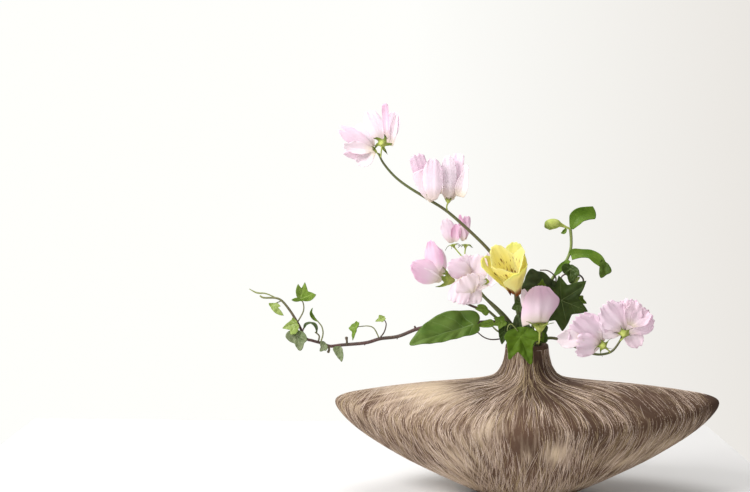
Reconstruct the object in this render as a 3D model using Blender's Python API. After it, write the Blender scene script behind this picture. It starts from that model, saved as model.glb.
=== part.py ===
"""Ikebana arrangement: sweet peas, one alstroemeria bloom, a leafy alstroemeria shoot and ivy,
standing in a boat-shaped stoneware vase with a narrow neck.

Lengths are in millimetres here and become metres when a mesh is made. The origin is the centre
of the vase's foot, X runs along the vase, Y to the back and Z up.
"""
import math

import bpy
from mathutils import Vector

METRES = 0.001

# ---- vase -------------------------------------------------------------------------------------
# half length and its height, half depth and its height, how pointed the plan is
VASE_OUTSIDE = (
    (49, 0, 30, 0, 0.15),
    (65, 7.5, 41, 6, 0.25),
    (97, 21.5, 59, 21, 0.4),
    (132, 38.5, 72, 39, 0.5),
    (168, 60.5, 81, 57, 0.6),
    (190, 79, 84.5, 69, 0.6),
    (200, 95, 85, 79, 0.6),
    (191, 103.5, 82, 88, 0.6),
    (163, 109, 73, 98.5, 0.5),
    (122, 114, 59, 107.5, 0.4),
    (80, 117, 44, 114, 0.25),
    (50, 119.5, 34, 119.5, 0.1),
    (34, 124.5, 28, 126, 0.0),
    (26.3, 134.5, 24.6, 135, 0.0),
    (23.2, 146, 22.9, 146, 0.0),
    (22.2, 155, 22.2, 155, 0.0),
)
VASE_WALL = 5.0
VASE_FLOOR = (42, 7, 24, 7, 0.15)
FLOOR_Z = 7.0
MOUTH_Z = 157.5
MOUTH_LIP = ((21.6, 156.7), (19.8, MOUTH_Z), (18.0, 156.7))
VASE_SIDES = 36

# ---- shared plant sizes -------------------------------------------------------------------------
GAP = 0.4
PETAL_THICK = 0.9
LEAF_THICK = 0.9
CALYX_LENGTH = 7.0
CALYX_RADIUS = 3.6
STEM_SIDES = 6
PETIOLE_SIDES = 5
BASE_Z = FLOOR_Z + GAP

# width of a blade at five even steps from base to tip, as a share of its full width
BANNER_WIDTHS = (0.18, 0.62, 0.94, 1.0, 0.72)
WING_WIDTHS = (0.2, 0.72, 1.0, 0.92, 0.5)
TEPAL_WIDTHS = (0.16, 0.36, 0.78, 1.0, 0.5)
LANCE_WIDTHS = (0.28, 0.82, 1.0, 0.8, 0.14)

# half outlines of ivy leaves about the point where the petiole joins: angle from the tip, reach
IVY_FIVE = ((0, 1.0), (25, 0.6), (54, 0.84), (84, 0.5), (116, 0.6), (148, 0.36), (180, 0.2))
IVY_THREE = ((0, 1.0), (30, 0.64), (62, 0.78), (100, 0.46), (140, 0.42), (180, 0.2))
IVY_OVATE = ((0, 1.0), (8, 0.8), (18, 0.6), (34, 0.42), (62, 0.27), (105, 0.2), (150, 0.18), (180, 0.1))

# ---- colours ------------------------------------------------------------------------------------
CLAY = (0.29, 0.2, 0.14)
PINK = (0.9, 0.68, 0.82)
CREAM = (0.93, 0.85, 0.84)
LIME = (0.45, 0.58, 0.16)
STEM_GREEN = (0.2, 0.27, 0.1)
YELLOW = (0.86, 0.74, 0.14)
LEAF_GREEN = (0.12, 0.27, 0.06)
DARK_LEAF = (0.04, 0.1, 0.035)
YOUNG_LEAF = (0.3, 0.45, 0.1)
VINE_BROWN = (0.13, 0.07, 0.06)
ANTHER = (0.35, 0.2, 0.05)


# ---- general tools ------------------------------------------------------------------------------
def clear_scene():
    for item in list(bpy.data.objects):
        bpy.data.objects.remove(item, do_unlink=True)


def material(name, colour, roughness):
    made = bpy.data.materials.new(name)
    made.use_nodes = True
    shader = made.node_tree.nodes["Principled BSDF"]
    shader.inputs["Base Color"].default_value = (*colour, 1.0)
    shader.inputs["Roughness"].default_value = roughness
    shader.inputs["Metallic"].default_value = 0.0
    return made


def mesh_of(name, points, faces):
    mesh = bpy.data.meshes.new(name)
    mesh.from_pydata([Vector(p) * METRES for p in points], [], faces)
    mesh.update()
    return mesh


def show(name, mesh, colour, roughness, sharp_degrees=50):
    mesh.materials.clear()
    mesh.materials.append(material(name, colour, roughness))
    mesh.shade_smooth()
    mesh.set_sharp_from_angle(angle=math.radians(sharp_degrees))
    item = bpy.data.objects.new(name, mesh)
    bpy.context.collection.objects.link(item)
    return item


def curve_value(values, place):
    """Catmull-Rom value through evenly spaced numbers or vectors, place from 0 to 1."""
    last = len(values) - 1
    index = min(int(place * last), last - 1)
    t = place * last - index
    p1, p2 = values[index], values[index + 1]
    p0 = values[index - 1] if index else p1 * 2 - p2
    p3 = values[index + 2] if index + 2 <= last else p2 * 2 - p1
    bend = (p0 * 2 - p1 * 5 + p2 * 4 - p3) * t * t + (p1 * 3 - p0 - p2 * 3 + p3) * t * t * t
    return (p1 * 2 + (p2 - p0) * t + bend) * 0.5


def smooth_route(points, per_span):
    nodes = [Vector(p) for p in points]
    steps = (len(nodes) - 1) * per_span
    return [curve_value(nodes, i / steps) for i in range(steps + 1)]


def tube(points, radius_start, radius_end, sides, per_span=2):
    """A round closed tube on a smooth route, thinning from start to end."""
    route = smooth_route(points, per_span)
    side = Vector((0, 1, 0))
    verts = []
    for i, here in enumerate(route):
        ahead = (route[min(i + 1, len(route) - 1)] - route[max(i - 1, 0)]).normalized()
        side = (side - ahead * side.dot(ahead)).normalized()
        other = ahead.cross(side)
        radius = radius_start + (radius_end - radius_start) * i / (len(route) - 1)
        for k in range(sides):
            turn = math.tau * k / sides
            verts.append(here + (side * math.cos(turn) + other * math.sin(turn)) * radius)
    faces = [tuple(range(sides))[::-1]]
    for i in range(len(route) - 1):
        for k in range(sides):
            a, b = i * sides + k, i * sides + (k + 1) % sides
            faces.append((a, b, b + sides, a + sides))
    faces.append(tuple(range(len(verts) - sides, len(verts))))
    return verts, faces


def calyx(base, ahead):
    """The green cup that a blossom stands in, widening from its pedicel."""
    ahead = Vector(ahead).normalized()
    base = Vector(base)
    points = [base - ahead * 1.5, base + ahead * CALYX_LENGTH]
    return tube(points, 1.3, CALYX_RADIUS, 8, per_span=2)


def fuse(name, pieces):
    """Join overlapping closed pieces into one closed body."""
    body = bpy.data.objects.new(name, mesh_of(name, *pieces[0]))
    bpy.context.collection.objects.link(body)
    for points, faces in pieces[1:]:
        tool = bpy.data.objects.new(name + "_tool", mesh_of(name + "_tool", points, faces))
        bpy.context.collection.objects.link(tool)
        join = body.modifiers.new("join", "BOOLEAN")
        join.operation = "UNION"
        join.solver = "EXACT"
        join.object = tool
        graph = bpy.context.evaluated_depsgraph_get()
        body_now = bpy.data.meshes.new_from_object(body.evaluated_get(graph))
        body.modifiers.clear()
        body.data = body_now
        bpy.data.objects.remove(tool, do_unlink=True)
    mesh = body.data
    bpy.data.objects.remove(body, do_unlink=True)
    return mesh


# ---- thin curved blades: petals and leaves ------------------------------------------------------
class Blade:
    """Bends a flat outline: it rolls across its width and curls along its length.

    The blade runs from base to tip, and its upper side looks towards face. Across and along
    are angles in degrees: across lifts the edges towards face, along bends the tip away.
    """

    def __init__(self, base, tip, face, width, across, along):
        self.base = Vector(base)
        chord = Vector(tip) - self.base
        self.across = math.radians(across) or 1e-4
        self.along = math.radians(along) or 1e-4
        half = self.along / 2
        self.length = chord.length * half / math.sin(half)
        ahead = chord.normalized()
        up = Vector(face)
        up = (up - ahead * up.dot(ahead)).normalized()
        self.side = ahead.cross(up)
        self.ahead = ahead * math.cos(half) + up * math.sin(half)
        self.up = up * math.cos(half) - ahead * math.sin(half)
        self.half_width = width / 2

    def point(self, x, y, lift=0.0):
        turn = self.across * x / self.half_width
        sideways = self.half_width / self.across * math.sin(turn)
        rise = self.half_width / self.across * (1 - math.cos(turn)) + lift
        bend = self.along * y / self.length
        radius = self.length / self.along
        on_spine = self.ahead * (radius * math.sin(bend)) - self.up * (radius * (1 - math.cos(bend)))
        up_here = self.ahead * math.sin(bend) + self.up * math.cos(bend)
        return self.base + on_spine + self.side * sideways + up_here * rise


def thickened(name, points, faces, thick):
    """Give an open surface its thickness and close it round the edge."""
    sheet = bpy.data.objects.new(name, mesh_of(name, points, faces))
    bpy.context.collection.objects.link(sheet)
    skin = sheet.modifiers.new("thickness", "SOLIDIFY")
    skin.thickness = thick * METRES
    skin.offset = 0.0
    graph = bpy.context.evaluated_depsgraph_get()
    mesh = bpy.data.meshes.new_from_object(sheet.evaluated_get(graph))
    bpy.data.objects.remove(sheet, do_unlink=True)
    return mesh


def petal_mesh(name, blade, widths, notch=0.0, drop=0.2, across=4, along=4):
    """A petal: a fan whose top edge rounds off by drop and dips in the middle by notch."""
    points = []
    for j in range(along + 1):
        v = j / along
        half = blade.half_width * curve_value(widths, v)
        for i in range(across + 1):
            u = 2 * i / across - 1
            top = 1 - (drop * abs(u) ** 2.5 + notch * math.exp(-((u / 0.25) ** 2))) * v
            points.append(blade.point(u * half, blade.length * v * top))
    row = across + 1
    faces = [
        (j * row + i, j * row + i + 1, (j + 1) * row + i + 1, (j + 1) * row + i)
        for j in range(along)
        for i in range(across)
    ]
    return thickened(name, points, faces, PETAL_THICK)


def ivy_mesh(name, blade, half_outline, fold=0.2):
    """A leaf about the point where its petiole joins; fold lifts both halves."""
    outline = list(half_outline) + [(360 - a, r) for a, r in half_outline[-2:0:-1]]
    count = len(outline)
    points = [blade.point(0, 0)]
    for ring in (0.5, 1.0):
        for angle, reach in outline:
            turn = math.radians(angle)
            x = ring * reach * blade.length * math.sin(turn)
            y = ring * reach * blade.length * math.cos(turn)
            points.append(blade.point(x, y, abs(x) * fold))
    faces = [(0, 1 + (k + 1) % count, 1 + k) for k in range(count)]
    for k in range(count):
        a, b = 1 + k, 1 + (k + 1) % count
        faces.append((a, b, b + count, a + count))
    return thickened(name, points, faces, LEAF_THICK)


# ---- vase ---------------------------------------------------------------------------------------
def profile_rows(rows, per_span):
    nodes = [Row(row) for row in rows]
    steps = (len(nodes) - 1) * per_span
    return [curve_value(nodes, i / steps).values for i in range(steps + 1)]


class Row:
    """A profile row that can be added and scaled, as curve_value needs."""

    def __init__(self, values):
        self.values = tuple(values)

    def __add__(self, other):
        return Row(a + b for a, b in zip(self.values, other.values))

    def __sub__(self, other):
        return Row(a - b for a, b in zip(self.values, other.values))

    def __mul__(self, scale):
        return Row(a * scale for a in self.values)


def inset_row(rows, index, wall):
    """One profile row moved inwards, square to the side line and to the front line."""
    before, after = rows[max(index - 1, 0)], rows[min(index + 1, len(rows) - 1)]
    length, length_z, depth, depth_z, pointed = rows[index]
    side_way = Vector((after[0] - before[0], after[1] - before[1])).normalized()
    front_way = Vector((after[2] - before[2], after[3] - before[3])).normalized()
    return (
        length - side_way.y * wall,
        length_z + side_way.x * wall,
        depth - front_way.y * wall,
        depth_z + front_way.x * wall,
        pointed,
    )


def vase_ring(row):
    """One closed ring of the vase: long along X, pointed at its two ends."""
    length, length_z, depth, depth_z, pointed = row
    ring = []
    for k in range(VASE_SIDES):
        turn = math.tau * k / VASE_SIDES
        c, s = math.cos(turn), math.sin(turn)
        y = depth * s * abs(s) ** max(pointed, 0.0)
        z = length_z * c * c + depth_z * s * s
        ring.append((length * c, y, z))
    return ring


def build_vase():
    outside = profile_rows(VASE_OUTSIDE, 2)
    lip = [(r, z, r, z, 0.0) for r, z in MOUTH_LIP]
    shell = [inset_row(outside, i, VASE_WALL) for i in range(len(outside) - 1, 3, -2)]
    rows = outside + lip + shell + [VASE_FLOOR]
    rings = [vase_ring(row) for row in rows]
    points = [point for ring in rings for point in ring]
    faces = [tuple(range(VASE_SIDES))[::-1]]
    for j in range(len(rings) - 1):
        for k in range(VASE_SIDES):
            a, b = j * VASE_SIDES + k, j * VASE_SIDES + (k + 1) % VASE_SIDES
            faces.append((a, b, b + VASE_SIDES, a + VASE_SIDES))
    faces.append(tuple(range(len(points) - VASE_SIDES, len(points))))
    show("vase", mesh_of("vase", points, faces), CLAY, 0.8)


# ---- sweet peas -----------------------------------------------------------------------------------
# each stem stands on the vase's floor; a branch is its route and the direction of its calyx
SWEET_PEA_STEMS = {
    "sweet_pea_long_stem": {
        "route": ((0.5, -6, BASE_Z), (0.5, -6, 80), (0, -5.5, 150), (-5, -5, 177), (-9, -6, 202),
                  (-20, -8, 226), (-37, -10, 251), (-56, -11, 271), (-83, -14, 295),
                  (-103, -16, 308), (-124, -18, 321), (-138, -19, 332), (-149, -20, 345),
                  (-154, -21, 355)),
        "radii": (2.0, 1.1),
        "branches": (
            (((-152, -20.5, 351), (-156, -21, 357), (-160, -22, 361)), (-0.8, -0.1, 0.35)),
            (((-152, -20.5, 351), (-154, -25, 356), (-152, -28, 362)), (0.05, 0.5, 0.8)),
            (((-99, -15.5, 305.5), (-102, -18, 307), (-104, -19.5, 310)), (-0.1, -0.3, 1.0)),
            (((-83, -14, 295), (-87, -15.5, 301), (-85.5, -16, 307)), (0.1, -0.1, 1.0)),
            (((-20, -8, 226), (-24, 2, 225), (-27, 12, 226)), (-0.1, 0.9, 0.4)),
        ),
    },
    "sweet_pea_back_stem": {
        "route": ((-4, -0.5, BASE_Z), (-4, -0.5, 80), (-4, 0, 150), (-9, 1, 165), (-19, 3, 178),
                  (-30, 8, 190), (-41, 14, 201), (-52, 19, 212), (-61, 24, 229), (-65, 28, 246)),
        "radii": (1.9, 1.0),
        "branches": (
            (((-64, 27, 242), (-71, 29, 251), (-76, 30, 256)), (-0.25, 0.0, 1.0)),
            (((-64, 27, 242), (-64, 29, 250), (-63, 30, 256)), (0.0, 0.0, 1.0)),
        ),
    },
    "sweet_pea_left_stem": {
        "route": ((-5.5, -6, BASE_Z), (-5.5, -6, 80), (-6, -6.5, 150), (-12, -11, 172),
                  (-15.5, -13, 177), (-24, -15.5, 188), (-34, -19, 198), (-44, -23, 207),
                  (-53, -27, 217), (-61, -30, 223), (-70, -33, 222)),
        "radii": (1.9, 1.3),
        "branches": (
            (((-68, -32, 222.5), (-73, -35, 224), (-78, -38, 227)), (-0.95, -0.2, 0.25)),
            (((-52, -26.5, 216), (-45, -30, 220), (-43, -37, 226)), (-0.9, -0.45, 0.1)),
        ),
    },
    "sweet_pea_front_stem": {
        "route": ((5, -11.5, BASE_Z), (5, -11.5, 80), (5.5, -11.5, 145), (8, -13, 158),
                  (12, -18.5, 165), (12, -24, 172), (11, -26, 178)),
        "radii": (1.7, 1.4),
        "branches": ((((12, -23, 171), (11.5, -25, 175), (11, -26, 178)), (0.0, -0.1, 1.0)),),
    },
    "sweet_pea_right_stem": {
        "route": ((11.5, -6, BASE_Z), (11.5, -6, 80), (12, -6, 148), (17, -10, 163),
                  (30, -18, 165), (47, -24, 158), (64, -30, 152), (75, -33.5, 152),
                  (84, -35, 156), (91, -35.5, 166), (93, -36, 172)),
        "radii": (1.7, 1.0),
        "branches": (
            (((81, -34.5, 154), (78, -36, 158), (74, -37.5, 161)), (-0.9, -0.1, 0.3)),
            (((91, -35.5, 166), (92.5, -36, 170), (93, -36, 173)), (0.2, -0.1, 1.0)),
        ),
    },
}

# petals: name, base, tip, the way the upper side looks, width, roll across, curl along
BANNERS = (
    ("sweet_pea_long_1_banner", (-168, -22, 366), (-191, -26, 384), (-0.3, -0.7, -0.7), 30, -25, 25),
    ("sweet_pea_long_2_banner", (-150, -22, 371), (-144, -15, 404), (-0.1, 1.0, 0.1), 30, -20, 15),
    ("sweet_pea_long_3_banner", (-107, -20, 319), (-121, -20, 356), (0.7, -0.7, 0.2), 24, -20, 20),
    ("sweet_pea_long_4_banner", (-86, -16, 317), (-82, -12, 355), (0.5, -0.9, 0.0), 26, -20, 15),
    ("sweet_pea_back_1_banner", (-80, 30, 267), (-87, 34, 289), (0.4, -0.9, 0.1), 24, -25, 20),
    ("sweet_pea_back_2_banner", (-63, 31, 267), (-64, 36, 291), (0.2, -1.0, 0.1), 20, -20, 20),
    ("sweet_pea_back_3_banner", (-36, 20, 235), (-34, 20, 264), (0.0, -1.0, 0.1), 30, 30, 15),
    ("sweet_pea_left_1_banner", (-83, -40, 233), (-100, -43, 267), (-0.7, -0.6, -0.3), 32, -30, 10),
    ("sweet_pea_left_2_banner", (-57, -34, 230), (-69, -37, 254), (-0.4, -0.9, -0.2), 34, -30, 15),
    ("sweet_pea_front_banner", (11, -30, 188), (13, -35, 221), (0.0, 1.0, 0.1), 48, 85, -10),
    ("sweet_pea_right_1_banner", (64, -39, 168), (42, -41, 193), (-0.5, -0.8, -0.3), 40, -30, 20),
    ("sweet_pea_right_2_banner", (96, -36, 183), (116, -39, 209), (-0.4, -0.9, 0.1), 46, -30, 15),
)
WINGS = (
    ("sweet_pea_long_1_wings", (-167, -27, 361), (-184, -36, 350), (-0.3, -0.7, -0.7), 24, 40, -10),
    ("sweet_pea_long_2_wings", (-155, -18, 372), (-165, -9, 398), (-0.2, 1.0, 0.1), 20, 40, 10),
    ("sweet_pea_long_3_wings", (-103, -25, 318), (-99, -31, 352), (0.3, -0.9, 0.2), 22, 40, -10),
    ("sweet_pea_long_4_wings", (-81, -20, 316), (-66, -24, 343), (0.6, -0.8, 0.0), 18, 50, -10),
    ("sweet_pea_back_2_wings", (-61, 27, 266), (-58, 23, 287), (0.2, -1.0, 0.0), 15, 40, -10),
    ("sweet_pea_left_1_wings", (-87, -46, 231), (-117, -54, 240), (-0.5, -0.6, -0.6), 26, 30, -15),
    ("sweet_pea_left_2_wings", (-57, -41, 225), (-72, -54, 207), (-0.5, -0.8, -0.3), 30, 40, -10),
    ("sweet_pea_front_wings", (10, -25.5, 188), (9, -23, 215), (0.0, -1.0, 0.0), 18, -40, -10),
    ("sweet_pea_right_1_wings", (62, -43, 164), (29, -46, 164), (-0.3, -0.9, -0.3), 26, 30, -10),
    ("sweet_pea_right_2_wings", (90, -41, 183), (77, -43, 205), (-0.4, -0.9, 0.1), 24, 30, -10),
)


def build_sweet_pea_stem(name, plan):
    pieces = [tube(plan["route"], *plan["radii"], STEM_SIDES)]
    for route, ahead in plan["branches"]:
        pieces.append(tube(route, 1.1, 0.95, PETIOLE_SIDES))
        pieces.append(calyx(route[-1], ahead))
    show(name, fuse(name, pieces), STEM_GREEN, 0.5)


def build_sweet_peas():
    for name, plan in SWEET_PEA_STEMS.items():
        build_sweet_pea_stem(name, plan)
    for name, *shape in BANNERS:
        show(name, petal_mesh(name, Blade(*shape), BANNER_WIDTHS, notch=0.08), PINK, 0.5)
    for name, *shape in WINGS:
        show(name, petal_mesh(name, Blade(*shape), WING_WIDTHS), CREAM, 0.5)


# ---- alstroemeria ---------------------------------------------------------------------------------
BLOOM_BASE = Vector((-13, -23, 210))
BLOOM_AHEAD = Vector((-0.25, -0.53, 0.8)).normalized()
BLOOM_TURN = 5
BLOOM_STEM = ((-5.5, -11.5, BASE_Z), (-5.5, -11.5, 80), (-6, -11.5, 150), (-8, -14.5, 176),
              (-11, -16, 192), (-13, -20.5, 204))
TEPAL_START = 3.8
TEPAL_FOOT = (5.0, 2.4)
TEPAL_TIP = (26, 20)
TEPAL_REACH = (50, 56)
TEPAL_WIDTH = (34, 25)
TEPAL_ROLL = (40, 20)
TEPAL_CURL = (22, 18)
SHOOT_STEM = ((6, -5.5, BASE_Z), (6, -5.5, 80), (6, -5, 150), (6, -1, 178), (13, 3, 203),
              (25, 5, 223), (34, 5, 236), (41, 5, 245), (44.7, 5, 256), (45, 5, 267), (44, 5, 275))
SHOOT_BLADES = (
    ("shoot_top_leaf", (45.5, 4.5, 277.5), (70, 9, 295), (-0.3, -0.8, 0.7), 20, 60, 20),
    ("shoot_curved_leaf", (46, 1.5, 246), (81, -4, 233), (0.1, -0.5, 1.0), 15, 35, 120),
    ("shoot_sheath_leaf", (40.5, 0.5, 240), (26, 0, 226), (-0.4, -0.6, 0.7), 10, 40, 10),
)
SHOOT_BUD = ((43, 4.5, 277.5), (33.6, 3, 281), (26, 1.5, 282), (18, 0, 280))


def tepal_blade(index, ring):
    """One of three outer (ring 0) or three inner (ring 1) tepals of the funnel-shaped bloom."""
    turn = math.radians(120 * index + 60 * ring + BLOOM_TURN)
    side = BLOOM_AHEAD.cross(Vector((0, 1, 0))).normalized()
    other = side.cross(BLOOM_AHEAD)
    outward = side * math.cos(turn) + other * math.sin(turn)
    base = BLOOM_BASE + BLOOM_AHEAD * TEPAL_START + outward * TEPAL_FOOT[ring]
    tip = BLOOM_BASE + BLOOM_AHEAD * TEPAL_REACH[ring] + outward * TEPAL_TIP[ring]
    return Blade(base, tip, -outward, TEPAL_WIDTH[ring], TEPAL_ROLL[ring], TEPAL_CURL[ring])


def build_alstroemeria():
    stem = [tube(BLOOM_STEM, 2.0, 1.9, STEM_SIDES),
            tube((BLOOM_STEM[-1], BLOOM_BASE + BLOOM_AHEAD * 2), 1.9, 3.0, STEM_SIDES)]
    show("alstroemeria_stem", fuse("alstroemeria_stem", stem), STEM_GREEN, 0.5)
    for ring, kind in enumerate(("outer", "inner")):
        for index in range(3):
            name = f"alstroemeria_{kind}_tepal_{index + 1}"
            mesh = petal_mesh(name, tepal_blade(index, ring), TEPAL_WIDTHS)
            show(name, mesh, YELLOW, 0.45)
    stamen_base = BLOOM_BASE + BLOOM_AHEAD * 4.5
    stamens = tube((stamen_base, stamen_base + BLOOM_AHEAD * 22), 0.7, 1.6, PETIOLE_SIDES)
    show("alstroemeria_stamens", mesh_of("alstroemeria_stamens", *stamens), ANTHER, 0.6)


def build_shoot():
    show("shoot_stem", mesh_of("shoot_stem", *tube(SHOOT_STEM, 1.9, 1.3, STEM_SIDES)), LIME, 0.5)
    for name, *shape in SHOOT_BLADES:
        mesh = petal_mesh(name, Blade(*shape), LANCE_WIDTHS, drop=0.1, along=8)
        show(name, mesh, LEAF_GREEN, 0.4)
    bud = [tube(SHOOT_BUD[:2], 1.0, 4.0, 8, 3), tube(SHOOT_BUD[1:], 4.0, 2.2, 8, 2)]
    show("shoot_bud", fuse("shoot_bud", bud), LIME, 0.5)


# ---- ivy --------------------------------------------------------------------------------------------
VINE_ROUTE = ((-12.5, -1, BASE_Z), (-12.5, -1, 80), (-12.5, -1, 150), (-18, -3, 170),
              (-26, -6, 177), (-35, -9, 181), (-57, -15, 181), (-81, -19, 180),
              (-102, -22, 178), (-116, -24, 175), (-134, -25, 168), (-152, -28, 166),
              (-167, -30, 162), (-191, -32, 160), (-203, -34, 159), (-211, -35, 162),
              (-221, -36, 165), (-228, -37, 168), (-235, -38, 182), (-245, -38, 198),
              (-255, -38, 208), (-270, -38, 209), (-274, -38, 211))
VINE_BRANCHES = (
    ((-13, -1.5, 158), (-19, -6, 165), (-28, -12, 164), (-38, -17, 164), (-46, -21, 167),
     (-53, -25, 173)),
    ((-153, -28, 166), (-158, -28, 176), (-164, -28, 179), (-172, -29, 178)),
    ((-153, -28, 166), (-148, -28, 173), (-146, -28, 181), (-148, -28.5, 186)),
    ((-213, -35, 162), (-210, -39, 172), (-211, -41, 180), (-214.5, -41.5, 183)),
    ((-231, -37, 174), (-230, -41, 177), (-228, -44, 179)),
    ((-228, -37, 169), (-230, -40, 172), (-235, -43, 173)),
    ((-236, -38, 184), (-230, -40, 195), (-229.5, -41.5, 203), (-232, -43, 206.5)),
    ((-235, -38, 182), (-235.5, -40, 183), (-236.5, -42, 183.5)),
    ((-252, -38, 206), (-259, -40, 203), (-260, -41, 201)),
    ((-252, -38, 206), (-267, -38, 213), (-277, -38, 214), (-285, -38, 218)),
    ((-193, -33, 160), (-192.5, -36, 159.5), (-192.5, -38.2, 158.5)),
)
LEFT_SPRIG = ((-11.5, -6.5, BASE_Z), (-11.5, -6.5, 80), (-11.5, -6.5, 150), (-16.5, -7, 173),
              (-25, -8, 180), (-33, -10, 186), (-43, -11, 194), (-55, -13, 197), (-68, -15, 203))
LEFT_SPRIG_BRANCHES = (
    ((-43, -11, 194), (-42.5, -13, 195), (-43, -14.6, 195)),
    ((-12, -7.5, 161), (-14, -15, 169), (-13, -22, 175), (-10.5, -28, 170.5)),
)
RIGHT_SPRIG = ((6, -0.2, BASE_Z), (6, -0.2, 80), (7, -0.5, 150), (13, -4, 172), (20, -5, 192))
RIGHT_SPRIG_BRANCHES = (
    ((16, -4.5, 182), (26, -4, 192), (33, -7, 204)),
    ((20, -5, 190), (26, -1, 201), (26.5, -0.5, 209)),
    ((12, -3.5, 168), (27, -2, 198), (33, -3, 222), (36, -4, 229), (43, -5, 231), (51, -5, 230.5),
     (56.5, -5, 226)),
)
IVY_LEAVES = (
    ("ivy_big_leaf", IVY_OVATE, (-54, -28, 178), (-120, -50, 162), (0.1, -0.75, 0.65), 46, 25, 25,
     LEAF_GREEN),
    ("ivy_front_leaf", IVY_FIVE, (-10, -31, 170), (0, -34, 141), (-0.1, -1.0, 0.2), 36, 20, 10, LEAF_GREEN),
    ("ivy_star_leaf", IVY_FIVE, (34, -11, 205), (60, -14, 192), (0.0, -1.0, 0.15), 50, 10, 10, DARK_LEAF),
    ("ivy_back_leaf", IVY_THREE, (24, -5, 216), (-4, -8, 216), (0.0, -1.0, 0.0), 30, 15, 10, DARK_LEAF),
    ("ivy_loop_leaf", IVY_THREE, (44, -5, 237), (44, -7, 224.5), (0.0, -1.0, 0.2), 14, 20, 10, DARK_LEAF),
    ("ivy_neck_leaf", IVY_OVATE, (-24, -18, 180), (-28, -23, 160), (-0.3, -1.0, 0.0), 14, 20, 10,
     DARK_LEAF),
    ("ivy_sprig_leaf", IVY_THREE, (-44, -16, 195.5), (-55, -18, 195), (0.0, -0.9, 0.4), 14, 20, 10,
     YOUNG_LEAF),
    ("ivy_thin_leaf", IVY_THREE, (-174, -30, 178), (-179, -32, 166), (-0.8, -0.5, 0.3), 12, 20, 10,
     YOUNG_LEAF),
    ("ivy_tiny_leaf", IVY_THREE, (-149, -29.5, 187), (-157, -31, 184), (0.0, -0.8, 0.6), 9, 20, 10,
     YOUNG_LEAF),
    ("ivy_narrow_leaf", IVY_OVATE, (-215.5, -43, 186), (-221, -45, 199), (0.6, -0.7, 0.2), 9, 30, 20,
     YOUNG_LEAF),
    ("ivy_curled_leaf", IVY_THREE, (-222, -48, 177), (-224, -50, 186), (0.2, -0.9, 0.3), 12, 30, 20,
     DARK_LEAF),
    ("ivy_grey_leaf", IVY_THREE, (-236, -45, 171), (-233, -49, 156.5), (-0.1, -1.0, 0.2), 22, 15, 10,
     LEAF_GREEN),
    ("ivy_light_leaf", IVY_THREE, (-238.5, -44, 182.5), (-251, -44, 178.5), (-0.1, -1.0, 0.3), 16, 15, 10,
     YOUNG_LEAF),
    ("ivy_upper_leaf", IVY_FIVE, (-232, -45.5, 209), (-228, -49, 226.5), (0.1, -0.9, 0.3), 26, 20, 10,
     YOUNG_LEAF),
    ("ivy_tip_leaf", IVY_THREE, (-260, -43, 199), (-251, -45, 190.5), (-0.2, -0.9, 0.3), 14, 20, 10,
     YOUNG_LEAF),
    ("ivy_pointed_leaf", IVY_OVATE, (-192.5, -40, 157.5), (-190.6, -43, 144.5), (-0.2, -0.9, 0.3), 14, 20,
     10, LEAF_GREEN),
)


def build_ivy():
    for name, route, radii, branches in (
        ("ivy_vine", VINE_ROUTE, (1.9, 0.9), VINE_BRANCHES),
        ("ivy_left_sprig", LEFT_SPRIG, (1.6, 1.2), LEFT_SPRIG_BRANCHES),
        ("ivy_right_sprig", RIGHT_SPRIG, (1.5, 1.1), RIGHT_SPRIG_BRANCHES),
    ):
        pieces = [tube(route, *radii, STEM_SIDES)]
        pieces += [tube(branch, 0.8, 0.6, PETIOLE_SIDES) for branch in branches]
        show(name, fuse(name, pieces), VINE_BROWN, 0.6)
    for name, outline, *shape, colour in IVY_LEAVES:
        show(name, ivy_mesh(name, Blade(*shape), outline), colour, 0.4)


clear_scene()
build_vase()
build_sweet_peas()
build_alstroemeria()
build_shoot()
build_ivy()
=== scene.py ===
"""Looks of the ikebana arrangement: sweet peas, one alstroemeria bloom, a leafy shoot and ivy in a
boat-shaped stoneware vase that is scratched all over with pale lines.

Lengths are in millimetres until a mesh is made. X runs along the vase, Y to the back and Z up.
"""
import math

import bmesh
import bpy
import numpy as np
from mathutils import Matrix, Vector, noise


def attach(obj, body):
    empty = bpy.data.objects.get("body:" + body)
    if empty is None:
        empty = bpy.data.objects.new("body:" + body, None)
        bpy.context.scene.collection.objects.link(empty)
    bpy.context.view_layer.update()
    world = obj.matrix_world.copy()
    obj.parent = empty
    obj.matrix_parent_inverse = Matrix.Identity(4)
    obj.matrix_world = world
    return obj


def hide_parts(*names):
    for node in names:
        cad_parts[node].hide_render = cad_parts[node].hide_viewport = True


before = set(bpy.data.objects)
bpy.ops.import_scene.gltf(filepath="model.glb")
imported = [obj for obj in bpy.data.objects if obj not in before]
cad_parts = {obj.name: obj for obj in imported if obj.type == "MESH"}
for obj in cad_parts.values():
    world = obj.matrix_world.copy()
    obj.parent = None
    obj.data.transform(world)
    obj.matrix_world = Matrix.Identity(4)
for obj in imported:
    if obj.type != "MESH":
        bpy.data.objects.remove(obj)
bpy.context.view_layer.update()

METRES = 0.001
# how far a stem's last ring is past its end, and how wide it is, as shares of the radius
END_REACH, END_SIZE = 0.4, 0.5


# ---- curves, grids and pieces ----
def unit(vectors):
    """Each vector made one long."""
    vectors = np.asarray(vectors, float)
    return vectors / np.maximum(np.linalg.norm(vectors, axis=-1, keepdims=True), 1e-9)


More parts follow.
